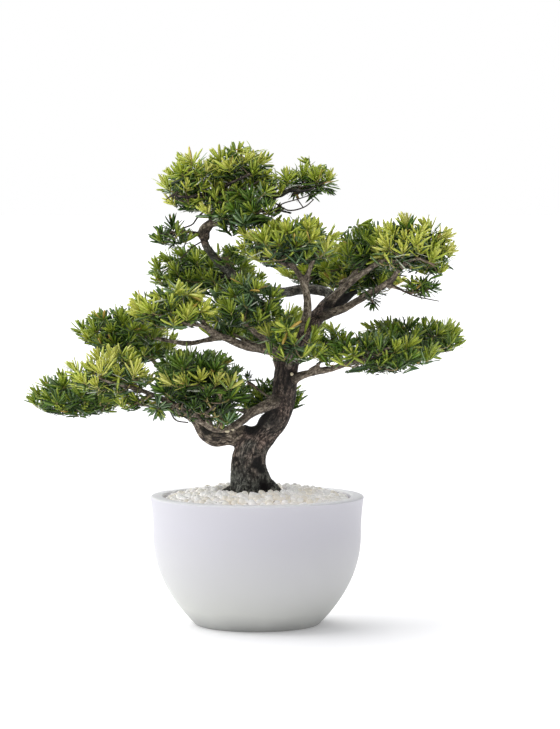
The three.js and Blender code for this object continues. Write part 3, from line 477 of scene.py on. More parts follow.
BEARING_STRAY = 0.2
SPREAD_STRAY = 6
CURL_STRAY = 0.08
TWIST_STRAY = 0.4
TIP_LIMIT = 1.14
TIP_CLEAR = 1.5
MIDDLE_CLEAR = 2
# Leaves are lighter and have more bloom in patches, and are fresher in drifts, a pattern that starts
# elsewhere. The strays are of a tuft's patch, drift and bloom, and of a leaf's step of tint.
PATCH_SIZE = 58
PATCH_STRAY = 0.1
DRIFT_SIZE = 40
DRIFT_START = np.array((50, 0, 0))
DRIFT_STRAY = 0.16
BLOOM_STRAY = 0.12
STEP_STRAY = 0.45
# Faded leaves are rare. Pale, narrow ones are painted glints: they stand low in a tuft, the more of them the
# more vigour it has.
FADED_SHARE = 0.006
GLINT_SHARE = 0.26
GLINT_BELOW = 0.4
GLINT_WIDTH = 0.6

# Floor: its size in metres, and its glow.
FLOOR_SIZE = 600
FLOOR_GLOW = 0.15

# Light: the sky on its bright side and its dim one, how it dims from one to the other, the white surround
# behind, by its sides and its top, the heights between which the white horizon fades, and a large soft
# lamp: its strength, its width in degrees and the way to it.
SKY_BRIGHT = (0.86, 0.86, 0.9, 1)
SKY_DIM = (0.28, 0.28, 0.3, 1)
DIMMING = (-0.9, 0.7)
BEHIND = (0.1, 0.7)
BEHIND_TOP = (0.1, 0.3)
HORIZON = (0.02, 0.1)
SUN = 2.9
SUN_SOFTNESS = 90
SUN_WAY = (-0.44, 0.32, 0.84)

# Camera: the points that it stands at and looks at, in metres, its lens and its sensor.
CAMERA_PLACE = (0.064, -8.0, 1.175)
CAMERA_AIM = (0.064, 0.0, 0.729)
CAMERA_LENS = 141.3
CAMERA_SENSOR = 36


def lerp(start, end, share):
    """The value at a share of the way from start to end."""
    return start + (end - start) * share


def unit(vectors):
    """Each vector at length 1."""
    return vectors / np.maximum(np.linalg.norm(vectors, axis=-1, keepdims=True), 1e-9)


# -----------------------------------------------------------------------------------------------------
# Finishes
# -----------------------------------------------------------------------------------------------------

class Shade:
    """A socket of a finish's nodes. Arithmetic on it adds Math nodes."""

    def __init__(self, finish, socket):
        self.finish = finish
        self.socket = socket

    def math(self, operation, first, second):
        """A Math node on two numbers or sockets."""
        return self.finish.add("ShaderNodeMath", {"operation": operation}, {0: first, 1: second})

    def __add__(self, other):
        return self.math("ADD", self, other)

    __radd__ = __add__

    def __sub__(self, other):
        return self.math("SUBTRACT", self, other)

    def __rsub__(self, other):
        return self.math("SUBTRACT", other, self)

    def __mul__(self, other):
        return self.math("MULTIPLY", self, other)

    __rmul__ = __mul__


class Nodes:
    """A tree of nodes and the one method that adds to it."""

    def __init__(self, tree):
        self.tree = tree

    def add(self, kind, settings=None, sockets=None, output=0):
        """A new node: its settings first, then the values or links of its sockets."""
        node = self.tree.nodes.new(kind)
        for label, value in (settings or {}).items():
            if label == "stops":
                self.fill_ramp(node.color_ramp, value)
            else:
                setattr(node, label, value)
        for label, value in (sockets or {}).items():
            self.feed(node.inputs[label], value)
        return Shade(self, node.outputs[output])

    def feed(self, socket, value):
        """A link to the socket, or its value."""
        if isinstance(value, Shade):
            self.tree.links.new(value.socket, socket)
        else:
            socket.default_value = value

    def fill_ramp(self, ramp, stops):
        """A ramp's places and colours."""
        while len(ramp.elements) < len(stops):
            ramp.elements.new(1.0)
        for element, (position, colour) in zip(ramp.elements, stops):
            element.position = position
            element.color = colour

    def ramp(self, factor, stops, tints):
        """Tints, as they show on a screen, each at its stop."""
        pairs = [(stop, linear(*tint)) for stop, tint in zip(stops, tints)]
        return self.add("ShaderNodeValToRGB", {"stops": pairs}, {"Fac": factor})

    def attribute(self, name, output=2):
        """A mesh's own attribute: its number, or at output 1 its vector."""
        return self.add("ShaderNodeAttribute", {"attribute_name": name}, None, output)

    def mix(self, factor, first, second):
        """The second colour over the first, by a factor."""
        return self.add("ShaderNodeMix", {"data_type": "RGBA"}, {0: factor, 6: first, 7: second}, output=2)

    def noise(self, place, scale, detail=3.0, roughness=0.55):
        """A cloudy pattern, whose scale is in clouds to the metre."""
        sockets = {"Vector": place, "Scale": scale, "Detail": detail, "Roughness": roughness}
        return self.add("ShaderNodeTexNoise", None, sockets)

    def stretched(self, place, factors):
        """A place with each of its axes scaled."""
        return self.add("ShaderNodeVectorMath", {"operation": "MULTIPLY"}, {0: place, 1: factors})

    def within(self, value, low, high):
        """0 below low, 1 above high, and smooth between."""
        sockets = {"Value": value, "From Min": low, "From Max": high}
        return self.add("ShaderNodeMapRange", {"interpolation_type": "SMOOTHSTEP"}, sockets)


class Finish(Nodes):
    """A material: its nodes and the shader that they feed."""

    def __init__(self, name, constants=None):
        self.material = bpy.data.materials.new(name)
        self.material.use_nodes = True
        super().__init__(self.material.node_tree)
        self.shader = self.tree.nodes["Principled BSDF"]
        for label, value in (constants or {}).items():
            self.shader.inputs[label].default_value = value

    def output(self, label, value):
        """What the shader's socket is fed with."""
        self.feed(self.shader.inputs[label], value)

    def bump(self, height, distance, strength=1.0):
        """Fine relief of a height that goes up to the distance, in metres."""
        normal = self.add("ShaderNodeBump", None, {"Height": height, "Distance": distance,
                                                   "Strength": strength})
        self.output("Normal", normal)


def linear(red, green, blue):
    """A colour given as it shows on a screen, 0 to 255, in the shader's linear values."""
    def channel(value):
        share = value / 255
        return share / 12.92 if share <= 0.04045 else ((share + 0.055) / 1.055) ** 2.4
    return (channel(red), channel(green), channel(blue), 1.0)


def plain_finish(name, tint, roughness):
    """A material of one plain colour."""
    return Finish(name, {"Base Color": linear(*tint), "Roughness": roughness}).material


def object_place(finish):
    """The place on the piece, in its object's coordinates."""
    return finish.add("ShaderNodeTexCoord", None, None, output=3)


# Tints, as they show on a screen. The glaze's run up the wall, at heights in metres, darker toward the foot
# as painted shade, and the lip is painted lighter as light from above; the soil's run from damp to dry, and
# the bark's from its fissures to its plates, on old wood, on middle-aged and on young.
GLAZE_STOPS = (0.025, 0.075, 0.3)
GLAZE_AND_FOOT_SHADE_TINTS = ((176, 177, 174), (208, 209, 204), (212, 211, 217))
PAINTED_LIGHT_LIP_TINT = (248, 248, 250)
SOIL_STOPS = (0.25, 0.55, 0.8)
SOIL_TINTS = ((34, 24, 18), (74, 52, 36), (112, 84, 58))
STONE_TINTS = ((252, 250, 246), (250, 246, 238), (254, 253, 251), (243, 237, 226), (250, 247, 244))
BARK_STOPS = (0.4, 0.5, 0.6)
OLD_BARK = ((36, 37, 34), (92, 93, 86), (160, 160, 149))
MIDDLE_BARK = ((22, 17, 16), (74, 62, 55), (170, 149, 135))
YOUNG_BARK = ((46, 40, 34), (114, 102, 88), (196, 182, 162))
# Dark bark, and painted shade under limbs, away from the light and in crotches.
DARK_AND_SHADED_BARK = (18, 17, 17)
# Painted shade in fissures, knot holes and low places between the plates.
FISSURE_SHADE = (24, 20, 18)


def glaze_finish():
    """Matt white glaze with a very faint cool cloud and a fine orange-peel, painted shade at the foot,
    painted light on the lip.
    """
    finish = Finish("white_glaze", {"Specular IOR Level": 0.35})
    place = object_place(finish)
    height = finish.add("ShaderNodeSeparateXYZ", None, {0: place}, output=2)
    cloud = finish.noise(place, 5.0, detail=2.0)
    # Painted shade darkens the wall toward the foot, and painted light makes the lip lighter.
    wall = finish.ramp(height + 0.05 * cloud, GLAZE_STOPS, GLAZE_AND_FOOT_SHADE_TINTS)
    lip = finish.within(height, MM * (PLANTER_HEIGHT - LIP_ROUND), MM * PLANTER_HEIGHT)
    finish.output("Base Color", finish.mix(lip, wall, linear(*PAINTED_LIGHT_LIP_TINT)))
    finish.output("Roughness", 0.42 + 0.1 * finish.noise(place, 60.0, detail=2.0))
    finish.bump(finish.noise(place, 420.0, detail=1.0), 0.00012, 0.5)
    return finish.material


def soil_finish():
    """Dark brown potting soil, with crumbs and a few paler fibres."""
    finish = Finish("potting_soil", {"Roughness": 0.95})
    place = object_place(finish)
    crumbs = finish.noise(place, 160.0, detail=5.0, roughness=0.7)
    finish.output("Base Color", finish.ramp(crumbs, SOIL_STOPS, SOIL_TINTS))
    finish.bump(crumbs, 0.003, 0.8)
    return finish.material


def stone_finish():
    """Tumbled off-white stone: each tint is a plain colour, dealt out stone by stone, with a faint painted
    glow.
    """
    materials = []
    for i, tint in enumerate(STONE_TINTS):
        constants = {"Base Color": linear(*tint), "Roughness": 0.62, "Emission Color": linear(*tint),
                     "Emission Strength": STONE_PAINTED_GLOW}
        materials.append(Finish(f"pale_stone_{i}", constants).material)
    return materials


def bark_finish():
    """Bark: flaky plates, grey on old wood and tan on young, with painted shade in fissures, hollows and
    shaded sides.
    """
    finish = Finish("bark")
    grain = finish.attribute("grain", output=1)
    age = finish.attribute("youth")
    crack = finish.attribute("crack")
    plates = finish.noise(finish.stretched(grain, (1.0, 1.0, 0.7)), 92.0, detail=6.0, roughness=0.75)
    flakes = finish.noise(finish.stretched(grain, (1.0, 1.0, 0.6)), 240.0, detail=4.0, roughness=0.7)
    patches = finish.noise(finish.stretched(grain, (1.0, 1.0, 0.8)), 20.0, detail=3.0)
    dark = finish.attribute("dark")
    tone = 0.6 * plates + 0.4 * flakes
    old, middle, young = (finish.ramp(tone, BARK_STOPS, tints)
                          for tints in (OLD_BARK, MIDDLE_BARK, YOUNG_BARK))
    ripe = finish.mix(finish.within(age + 0.5 * (patches - 0.5), 0.1, 0.34), old, middle)
    colour = finish.mix(finish.within(age + 0.3 * (patches - 0.5), 0.45, 0.85), ripe, young)
    # Dark bark, and painted shade under limbs, away from the light and in crotches, from the dark attribute.
    dark_and_shade = finish.within(dark + 0.9 * (patches - 0.5) + 0.5 * (plates - 0.5), 0.25, 0.62)
    colour = finish.mix(0.93 * dark_and_shade, colour, linear(*DARK_AND_SHADED_BARK))
    # Painted shade in fissures, knot holes and low places between the plates.
    shadowed = finish.within(crack + 0.9 * (0.5 - plates), 0.16, 0.8)
    colour = finish.mix(0.85 * shadowed, colour, linear(*FISSURE_SHADE))
    finish.output("Base Color", colour)
    finish.output("Roughness", 0.78 + 0.2 * flakes)
    finish.bump(plates + 0.5 * flakes, 0.0032, 0.9)
    return finish.material


# Leaf tints, each family from shaded to light: old leaves, old ones with a blue-green bloom, and fresh.
# A leaf's underside is a step lighter than its face, and its rib two steps.
OLD_TINTS = [(20, 34, 11), (45, 70, 19), (78, 113, 30), (114, 149, 48), (150, 173, 82)]
BLOOM_TINTS = [(22, 38, 24), (52, 80, 46), (90, 124, 78), (131, 160, 110), (168, 188, 142)]
FRESH_TINTS = [(127, 148, 46), (160, 180, 60), (190, 205, 75), (214, 219, 95), (230, 230, 124)]
FADED_TINTS = [(190, 156, 70), (214, 188, 96)]
# Painted glints: near-white tints for leaves that catch the light.
GLINT_TINTS = [(206, 214, 188), (232, 234, 218)]
FAMILIES = (OLD_TINTS, BLOOM_TINTS, FRESH_TINTS, FADED_TINTS, GLINT_TINTS)
FIRST_TINTS = np.concatenate([[0], np.cumsum([len(family) for family in FAMILIES])])
OLD, BLOOM, FRESH, FADED, GLINT = range(len(FAMILIES))
SHOOT_TINT = (176, 162, 102)
TWIG_TINT = (138, 120, 98)


def leaf_finishes():
    """Plain leaf colours, one to a tint."""
    tints = [tint for family in FAMILIES for tint in family]
    return [plain_finish(f"leaf_{i}", tint, 0.34) for i, tint in enumerate(tints)]


def twig_finishes():
    """The brown bark of a twig's older part, and its green tip."""
    return [plain_finish("twig_bark", TWIG_TINT, 0.85), plain_finish("green_shoot", SHOOT_TINT, 0.6)]


# -----------------------------------------------------------------------------------------------------
# Making meshes
# -----------------------------------------------------------------------------------------------------

def deselect():
    """Out of edit mode, with nothing selected."""
    if bpy.context.object and bpy.context.object.mode != "OBJECT":
        bpy.ops.object.mode_set(mode="OBJECT")
    bpy.ops.object.select_all(action="DESELECT")


def make_active(piece):
    """The piece alone is selected and active."""
    deselect()
    piece.select_set(True)
    bpy.context.view_layer.objects.active = piece


def apply_modifier(piece, name, kind, **settings):
    """A modifier with its settings, applied at once."""
    make_active(piece)
    modifier = piece.modifiers.new(name, kind)
    for label, value in settings.items():
        setattr(modifier, label, value)
    bpy.ops.object.modifier_apply(modifier=name)


def placed(name, data):
    """A new object of the scene, which holds the data."""
    made = bpy.data.objects.new(name, data)
    bpy.context.scene.collection.objects.link(made)
    return made


def joined(name, corners, triangles, tints=None, materials=()):
    """One mesh from arrays of corners, in millimetres, and triangles, with a material index to each."""
    mesh = bpy.data.meshes.new(name)
    mesh.vertices.add(len(corners))
    mesh.vertices.foreach_set("co", (np.asarray(corners) * MM).astype(np.float32).ravel())
    mesh.loops.add(triangles.size)
    mesh.loops.foreach_set("vertex_index", triangles.astype(np.int32).ravel())
    mesh.polygons.add(len(triangles))
    mesh.polygons.foreach_set("loop_start", np.arange(0, triangles.size, 3, dtype=np.int32))
    for material in materials:
        mesh.materials.append(material)
    if tints is not None:
        mesh.polygons.foreach_set("material_index", tints.astype(np.int32))
    mesh.update(calc_edges=True)
    return placed(name, mesh)


class Heap:
    """Small closed shapes that are gathered as arrays and then made as one mesh."""

    def __init__(self):
        self.corners = []
        self.triangles = []
        self.tints = []
        self.count = 0

    def add(self, corners, triangles, tint=0):
        """One more shape, all of one tint."""
        self.corners.append(corners)
        self.triangles.append(triangles + self.count)
        self.tints.append(np.full(len(triangles), tint))
        self.count += len(corners)

    def make(self, name, materials=()):
        """The piece that holds all the shapes."""
        return joined(name, np.concatenate(self.corners), np.concatenate(self.triangles),
                      np.concatenate(self.tints), materials)


def turned(name, profile, sides):
    """A closed turned shape: a filled circle, extruded and widened from ring to ring of the profile."""
    deselect()
    radius, height = profile[0]
    bpy.ops.mesh.primitive_circle_add(vertices=sides, radius=radius * MM, fill_type="NGON",
                                      location=(0, 0, height * MM))
    piece = bpy.context.object
    piece.name = name
    bpy.ops.object.transform_apply(location=True, rotation=True, scale=True)
    bpy.ops.object.mode_set(mode="EDIT")
    for wider, higher in profile[1:]:
        rise = (0, 0, (higher - height) * MM)
        bpy.ops.mesh.extrude_region_move(TRANSFORM_OT_translate={"value": rise})
        bpy.ops.transform.resize(value=(wider / radius, wider / radius, 1), center_override=(0, 0, 0))
        radius, height = wider, higher
    bpy.ops.mesh.select_all(action="SELECT")
    bpy.ops.mesh.normals_make_consistent(inside=False)
    bpy.ops.object.mode_set(mode="OBJECT")
    return piece


def finished(piece, materials, *nodes, slot=None, smooth_angle=None):
    """The piece takes its materials, rides on the plant and stands for the given nodes."""
    if materials:
        piece.data.materials.clear()
        for material in materials:
            piece.data.materials.append(material)
    if smooth_angle:
        make_active(piece)
        bpy.ops.object.shade_smooth_by_angle(angle=math.radians(smooth_angle))
    if nodes:
        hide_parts(*nodes)
    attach(piece, "root")
    return piece


# -----------------------------------------------------------------------------------------------------
# Planter, soil and pebbles
# -----------------------------------------------------------------------------------------------------

def bowl_radius(height):
    """The planter's outer radius at a height."""
    if height < BELLY_HEIGHT:
        share = 1 - (1 - height / BELLY_HEIGHT) ** BOWL_POWER
        return lerp(FOOT_RADIUS, BELLY_RADIUS, share)
    rise = (height - BELLY_HEIGHT) / (PLANTER_HEIGHT - BELLY_HEIGHT)
    return lerp(BELLY_RADIUS, RIM_RADIUS, rise ** 2)


def hollow_wall():
    """Stations of the hollow's wall from the floor to just over the soil's edge."""
    heights = np.linspace(FLOOR, PLANTER_HEIGHT, HOLLOW_STEPS)
    return [(min(bowl_radius(height) - WALL, OPENING), height) for height in heights]


def corner_arc(centre, start, turn):
    """Points of a rounded corner of the lip, about its centre, from one bearing on by a turn."""
    bearings = np.radians(np.linspace(start, start + turn, LIP_STEPS))
    return [(centre[0] + LIP_ROUND * math.cos(b), centre[1] + LIP_ROUND * math.sin(b)) for b in bearings]


def make_planter(material):
    """The bowl in one turn: foot, outside, both corners of the lip, and the hollow down to its floor."""
    foot = [(FOOT_RADIUS - FOOT_EDGE, 0), (FOOT_RADIUS - 0.35 * FOOT_EDGE, 0.2 * FOOT_EDGE)]
    heights = np.linspace(FOOT_EDGE, PLANTER_HEIGHT - LIP_ROUND, BOWL_STEPS)
    outside = [(bowl_radius(height), height) for height in heights]
    outer_corner = corner_arc((RIM_RADIUS - LIP_ROUND, PLANTER_HEIGHT - LIP_ROUND), 0, 90)
    inner_corner = corner_arc((OPENING + LIP_ROUND, PLANTER_HEIGHT - LIP_ROUND), 90, 90)
    inside = hollow_wall()[-2::-1]
    profile = foot + outside + outer_corner[1:] + inner_corner + inside
    planter = turned("white_planter", profile, PLANTER_SIDES)
    return finished(planter, [material], "planter", slot="planter_glaze", smooth_angle=40)


def soil_height(radius):
    """The soil's top at a distance from the axis."""
    fall = np.maximum(0, radius - SOIL_FLAT) / (OPENING - SOIL_FLAT)
    return SOIL_TOP - (SOIL_TOP - SOIL_EDGE) * fall ** SOIL_FALL_POWER


def make_soil(material):
    """The soil fills the hollow and has a crumbly top."""
    side = [(radius - CLEAR, height) for radius, height in hollow_wall() if FLOOR < height < SOIL_EDGE]
    radii = np.linspace(OPENING - CLEAR, SOIL_CENTRE, SOIL_STEPS)
    top = [(radius, float(soil_height(radius))) for radius in radii]
    foot = (hollow_wall()[0][0] - CLEAR, FLOOR + CLEAR)
    soil = turned("potting_soil", [foot] + side + top, PLANTER_SIDES)
    for vertex in soil.data.vertices:
        place = vertex.co / MM
        away = math.hypot(place.x, place.y)
        if place.z > SOIL_EDGE and away < OPENING - SOIL_MARGIN:
            crumb = noise.noise(place / COARSE_CRUMB) + 0.6 * noise.noise(place / FINE_CRUMB)
            vertex.co.z += SOIL_CRUMB * crumb * MM
    return finished(soil, [material], "soil", slot="potting_soil", smooth_angle=35)


def bed_height(radius):
    """The pebble bed's mean top at a distance from the axis."""
    share = np.clip((radius - BED_HOLE) / (OPENING - BED_HOLE), 0, 1)
    return soil_height(radius) + lerp(BED_THICKNESS, BED_EDGE_THICKNESS, share)


def random_turn(rng, tilt):
    """A rotation matrix: any bearing about Z, then a lean of up to the given tilt."""
    spin = rng.uniform(0, 2 * math.pi)
    pitch, roll = rng.uniform(-tilt, tilt, 2)
    turn_z = np.array([[math.cos(spin), -math.sin(spin), 0], [math.sin(spin), math.cos(spin), 0], [0, 0, 1]])
    turn_x = np.array([
        [1, 0, 0], [0, math.cos(pitch), -math.sin(pitch)], [0, math.sin(pitch), math.cos(pitch)]])
    turn_y = np.array([[math.cos(roll), 0, math.sin(roll)], [0, 1, 0], [-math.sin(roll), 0, math.cos(roll)]])
    return turn_x @ turn_y @ turn_z


def ball():
    """Corners and triangles of one round stone before it is squeezed."""
    deselect()
    bpy.ops.mesh.primitive_ico_sphere_add(subdivisions=2, radius=1)
    made = bpy.context.object
    corners = np.array([vertex.co for vertex in made.data.vertices])
    triangles = np.array([face.vertices for face in made.data.polygons])
    bpy.data.objects.remove(made)
    return corners, triangles


def make_pebbles(materials):
    """Tumbled stones in layers, over all of the soil but a ragged hole round the trunk's foot."""
    rng = np.random.default_rng(PEBBLE_SEED)
    round_corners, round_triangles = ball()
    heap = Heap()
    rows = np.arange(-OPENING, OPENING, STONE_SPACING * math.sqrt(3) / 2)
    for level, (drop, stray) in enumerate(STONE_LAYERS):
        for row, y in enumerate(rows):
            start = -OPENING + (row + level) % 2 * STONE_SPACING / 2
            for x in np.arange(start, OPENING + STONE_SPACING, STONE_SPACING):
                place = np.array([x, y]) + rng.uniform(-STONE_STRAY, STONE_STRAY, 2)
                halves = np.array(STONE_HALVES) * rng.uniform(*STONE_SIZES, 3)
                away = np.hypot(*place)
                inward = place - HOLE_CENTRE
                bearing = math.atan2(inward[1], inward[0])
                ragged = noise.noise((math.cos(bearing), math.sin(bearing), HOLE_PATTERN))
                hole = BED_HOLE + HOLE_STRAY * ragged
                turn = random_turn(rng, STONE_TILT)
                lift = rng.uniform(-stray, stray)
                lumps = rng.uniform(*STONE_LUMPS, len(round_corners))[:, None]
                tint = rng.integers(len(materials))
                edge = OPENING - STONE_MARGIN * halves[0]
                if hole < np.hypot(*inward) and away < OPENING + STONE_OVER:
                    place *= min(1, edge / away)
                    away = min(away, edge)
                    corners = (round_corners * lumps * halves) @ turn.T
                    height = bed_height(away) + drop + lift
                    heap.add(corners + (*place, height), round_triangles, tint)
    pebbles = heap.make("pebble_dressing", materials)
    return finished(pebbles, None, "pebbles", slot="pale_pebbles", smooth_angle=180)


# -----------------------------------------------------------------------------------------------------
# Limbs
# -----------------------------------------------------------------------------------------------------

class Limb:
    """A smooth, tapering line through points of (x, y, z, radius): a centripetal Catmull-Rom curve."""

    def __init__(self, way):
        points = np.array(way, float)[:, :3]
        self.radii = np.array(way, float)[:, 3]
        self.last = len(way) - 1
        ends = np.vstack([2 * points[0] - points[1], points, 2 * points[-1] - points[-2]])
        steps = np.sqrt(np.linalg.norm(np.diff(ends, axis=0), axis=1))[:, None]
        before, first, second, after = ends[:-3], ends[1:-2], ends[2:-1], ends[3:]
        gap0, gap1, gap2 = steps[:-2], steps[1:-1], steps[2:]
        leave = (first - before) / gap0 - (second - before) / (gap0 + gap1) + (second - first) / gap1
        reach = (second - first) / gap1 - (after - first) / (gap1 + gap2) + (after - second) / gap2
        leave, reach = leave * gap1, reach * gap1
        self.terms = (first, leave, -3 * first + 3 * second - 2 * leave - reach,
                      2 * first - 2 * second + leave + reach)

    def split(self, share):
        """The span that each share of the limb falls in, and how far along that span it is."""
        place = np.clip(np.atleast_1d(share), 0, 1) * self.last
        before = np.minimum(place.astype(int), self.last - 1)
        return before, (place - before)[:, None]

    def point(self, share):
        """Points at shares of the limb."""
        before, weight = self.split(share)
        a, b, c, d = (term[before] for term in self.terms)
        return a + weight * (b + weight * (c + weight * d))

    def radius(self, share):
        """Radii at shares of the limb."""
        before, weight = self.split(share)
        return lerp(self.radii[before], self.radii[before + 1], weight[:, 0])

    def stations(self, spacing):
        """Parameters about evenly spaced along the limb."""
        fine = np.linspace(0, 1, LIMB_SAMPLES * self.last)
        length = np.concatenate([[0], np.cumsum(np.linalg.norm(np.diff(self.point(fine), axis=0), axis=1))])
        count = max(2, round(length[-1] / spacing))
        return np.interp(np.linspace(0, length[-1], count + 1), length, fine)


def laid(way, spacing, first=0.0, last=1.0):
    """Points and radii of stations about evenly spaced along a limb, from one share of it to another."""
    curve = Limb(way)
    stations = curve.stations(spacing)
    stations = stations[(stations >= first) & (stations <= last)]
    return curve.point(stations), curve.radius(stations)


def carried_frames(line):
    """Directions along, beside and across a line at each of its points, carried on without a twist.

    A side that has come to lie nearly along the line is taken anew.
    """
    along = unit(np.gradient(line, axis=0))
    beside = np.empty_like(line)
    side = np.array([0.0, 1.0, 0.0])
    for i, direction in enumerate(along):
        side = side - direction * side.dot(direction)
        if np.linalg.norm(side) < 0.2:
            side = np.array([1.0, 0.0, 0.0]) - direction * direction[0]
        side = side / np.linalg.norm(side)
        beside[i] = side
    return along, beside, np.cross(along, beside)


def outward_ways(line, sides):
    """The way out from a line at each of its points, to each side."""
    _, beside, across = carried_frames(line)
    turns = 2 * math.pi * np.arange(sides) / sides
    return np.cos(turns)[:, None] * beside[:, None] + np.sin(turns)[:, None] * across[:, None]


def tube(line, radii, sides):
    """A closed tube of triangles round a line. radii is one to a point, or one to each of its sides."""
    outward = outward_ways(line, sides)
    radii = np.broadcast_to(np.asarray(radii).reshape(len(line), -1), (len(line), sides))
    rings = line[:, None] + radii[..., None] * outward
    corners = np.concatenate([rings.reshape(-1, 3), line[:1], line[-1:]])
    ring = np.arange(sides)
    follow = (ring + 1) % sides
    starts = sides * np.arange(len(line) - 1)[:, None]
    a, b = starts + ring, starts + follow
    walls = np.concatenate([np.stack([a, b, b + sides], -1), np.stack([a, b + sides, a + sides], -1)])
    last = sides * (len(line) - 1)
    foot = np.stack([follow, ring, np.full(sides, len(corners) - 2)], -1)
    top = np.stack([last + ring, last + follow, np.full(sides, len(corners) - 1)], -1)
    return corners, np.concatenate([walls.reshape(-1, 3), foot, top])


def root_swell(bearings, heights):
    """How much the trunk swells towards its surface roots."""
    swell = sum(size * np.maximum(0, np.cos(bearings - math.radians(bearing))) ** ROOT_SHARPNESS
                for bearing, size in ROOTS)
    return 1 + swell * np.exp(-np.maximum(0, heights) / FLARE_HEIGHT)


def trunk_radii(line, radii, sides):
    """The trunk's radius at each side of each ring, with the root flare."""
    outward = outward_ways(line, sides)
    bearings = np.arctan2(outward[..., 1], outward[..., 0])
    return radii[:, None] * root_swell(bearings, (line[:, 2] - GROUND)[:, None])


def root_ways():
    """Surface roots: each leaves the trunk's foot as a ridge and dives into the soil.

    A station is how far out it is, its height and its radius, all larger on a larger root.
    """
    ways = []
    for bearing, size in ROOTS:
        x, y = math.cos(math.radians(bearing)), math.sin(math.radians(bearing))
        stations = [(20, GROUND + 124 * size, 8 + 22 * size), (42, GROUND + 58 * size, 9 + 16 * size),
                    (64 + 16 * size, GROUND + 19 * size, 8 + 14 * size),
                    (82 + 38 * size, GROUND - 7, 5 + 7 * size), (94 + 44 * size, GROUND - 18, 5)]
        ways.append([(FOOT[0] + out * x, FOOT[1] + out * y, height, radius)
                     for out, height, radius in stations])
    return ways


def limb_marks():
    """Places, radii, frames and bark looks of fine stations along all limbs."""
    marks = []
    for i, limb in enumerate(WOOD.values()):
        line, radii = laid(limb["way"], LIMB_STEP)
        along, beside, across = carried_frames(line)
        run = np.concatenate([[0], np.cumsum(np.linalg.norm(np.diff(line, axis=0), axis=1))])
        marks.append(dict(line=line, radii=radii, beside=beside, across=across, along=along,
                          run=run + PATTERN_GAP * i, youth=np.full(len(line), limb["age"]),
                          dark=np.full(len(line), limb.get("dark", 0.0))))
    return {key: np.concatenate([mark[key] for mark in marks]) for key in marks[0]}


MARKS = limb_marks()


def surface_gaps(points):
    """How far each point is outside the skin of each station's limb."""
    squares = (points ** 2).sum(1)[:, None] + (MARKS["line"] ** 2).sum(1) - 2 * points @ MARKS["line"].T
    return np.sqrt(np.maximum(squares, 0)) - MARKS["radii"]


def in_blocks(work, points, block=4000):
    """The results of work on blocks of the points, joined again."""
    parts = [work(points[start:start + block]) for start in range(0, len(points), block)]
    return np.concatenate(parts)


def nearest_station(points):
    """The station of a limb whose skin is nearest to each point."""
    return in_blocks(lambda block: surface_gaps(block).argmin(1), points)


def blended(points, key):
    """A look of the limbs near each point, blended where limbs meet."""
    def blend(block):
        gaps = surface_gaps(block)
        weights = np.exp(-(gaps - gaps.min(1, keepdims=True)) / BLEND)
        return weights @ MARKS[key] / weights.sum(1)
    return in_blocks(blend, points)


def pattern(place, width, length, shift):
    """A pattern of the bark's relief at a place of the straightened limb."""
    x, y, run = place
    return noise.noise((x / width, y / width, run / length + shift))


def bark_relief(grain, girth):
    """How far the bark stands out, and how deep it is cracked, at places of the straightened limb."""
    lift = np.empty(len(grain))
    crack = np.empty(len(grain))
    for i, (place, size) in enumerate(zip(grain, girth)):
        fibre, flake, plate, muscle, knob = (pattern(place, *marks)
                                             for marks in (FIBRE, FLAKE, PLATE, MUSCLE, KNOB))
        coarse = min(1.0, size / ROUGH_RADIUS)
        cut = math.exp(-(fibre / CRACK_WIDTH) ** 2)
        crack[i] = cut * coarse
        rough = coarse * (PLATE_RISE * plate - CRACK_DEPTH * cut + MUSCLE_RISE * muscle * coarse)
        lift[i] = rough + FLAKE_RISE * flake + KNOB_RISE * (1 - coarse) * knob
    return lift, crack


def wood_shape():
    """All limbs and surface roots as closed tubes, fused to one skin and softened."""
    heap = Heap()
    for name, limb in WOOD.items():
        line, radii = laid(limb["way"], LIMB_STEP)
        if name == "trunk":
            heap.add(*tube(line, trunk_radii(line, radii, LIMB_SIDES), LIMB_SIDES))
        else:
            run = LIMB_STEP * np.arange(len(line))
            collar = 1 + COLLAR * np.exp(-((run - radii[0]) / COLLAR_LENGTH) ** 2)
            heap.add(*tube(line, radii * collar + SKIN, LIMB_SIDES))
    for way in root_ways():
        heap.add(*tube(*laid(way, LIMB_STEP), LIMB_SIDES))
    wood = heap.make("trunk_and_boughs")
    apply_modifier(wood, "fuse", "REMESH", mode="VOXEL", voxel_size=VOXEL * MM)
    apply_modifier(wood, "soften", "SMOOTH", factor=0.5, iterations=SOFTENING)
    return wood


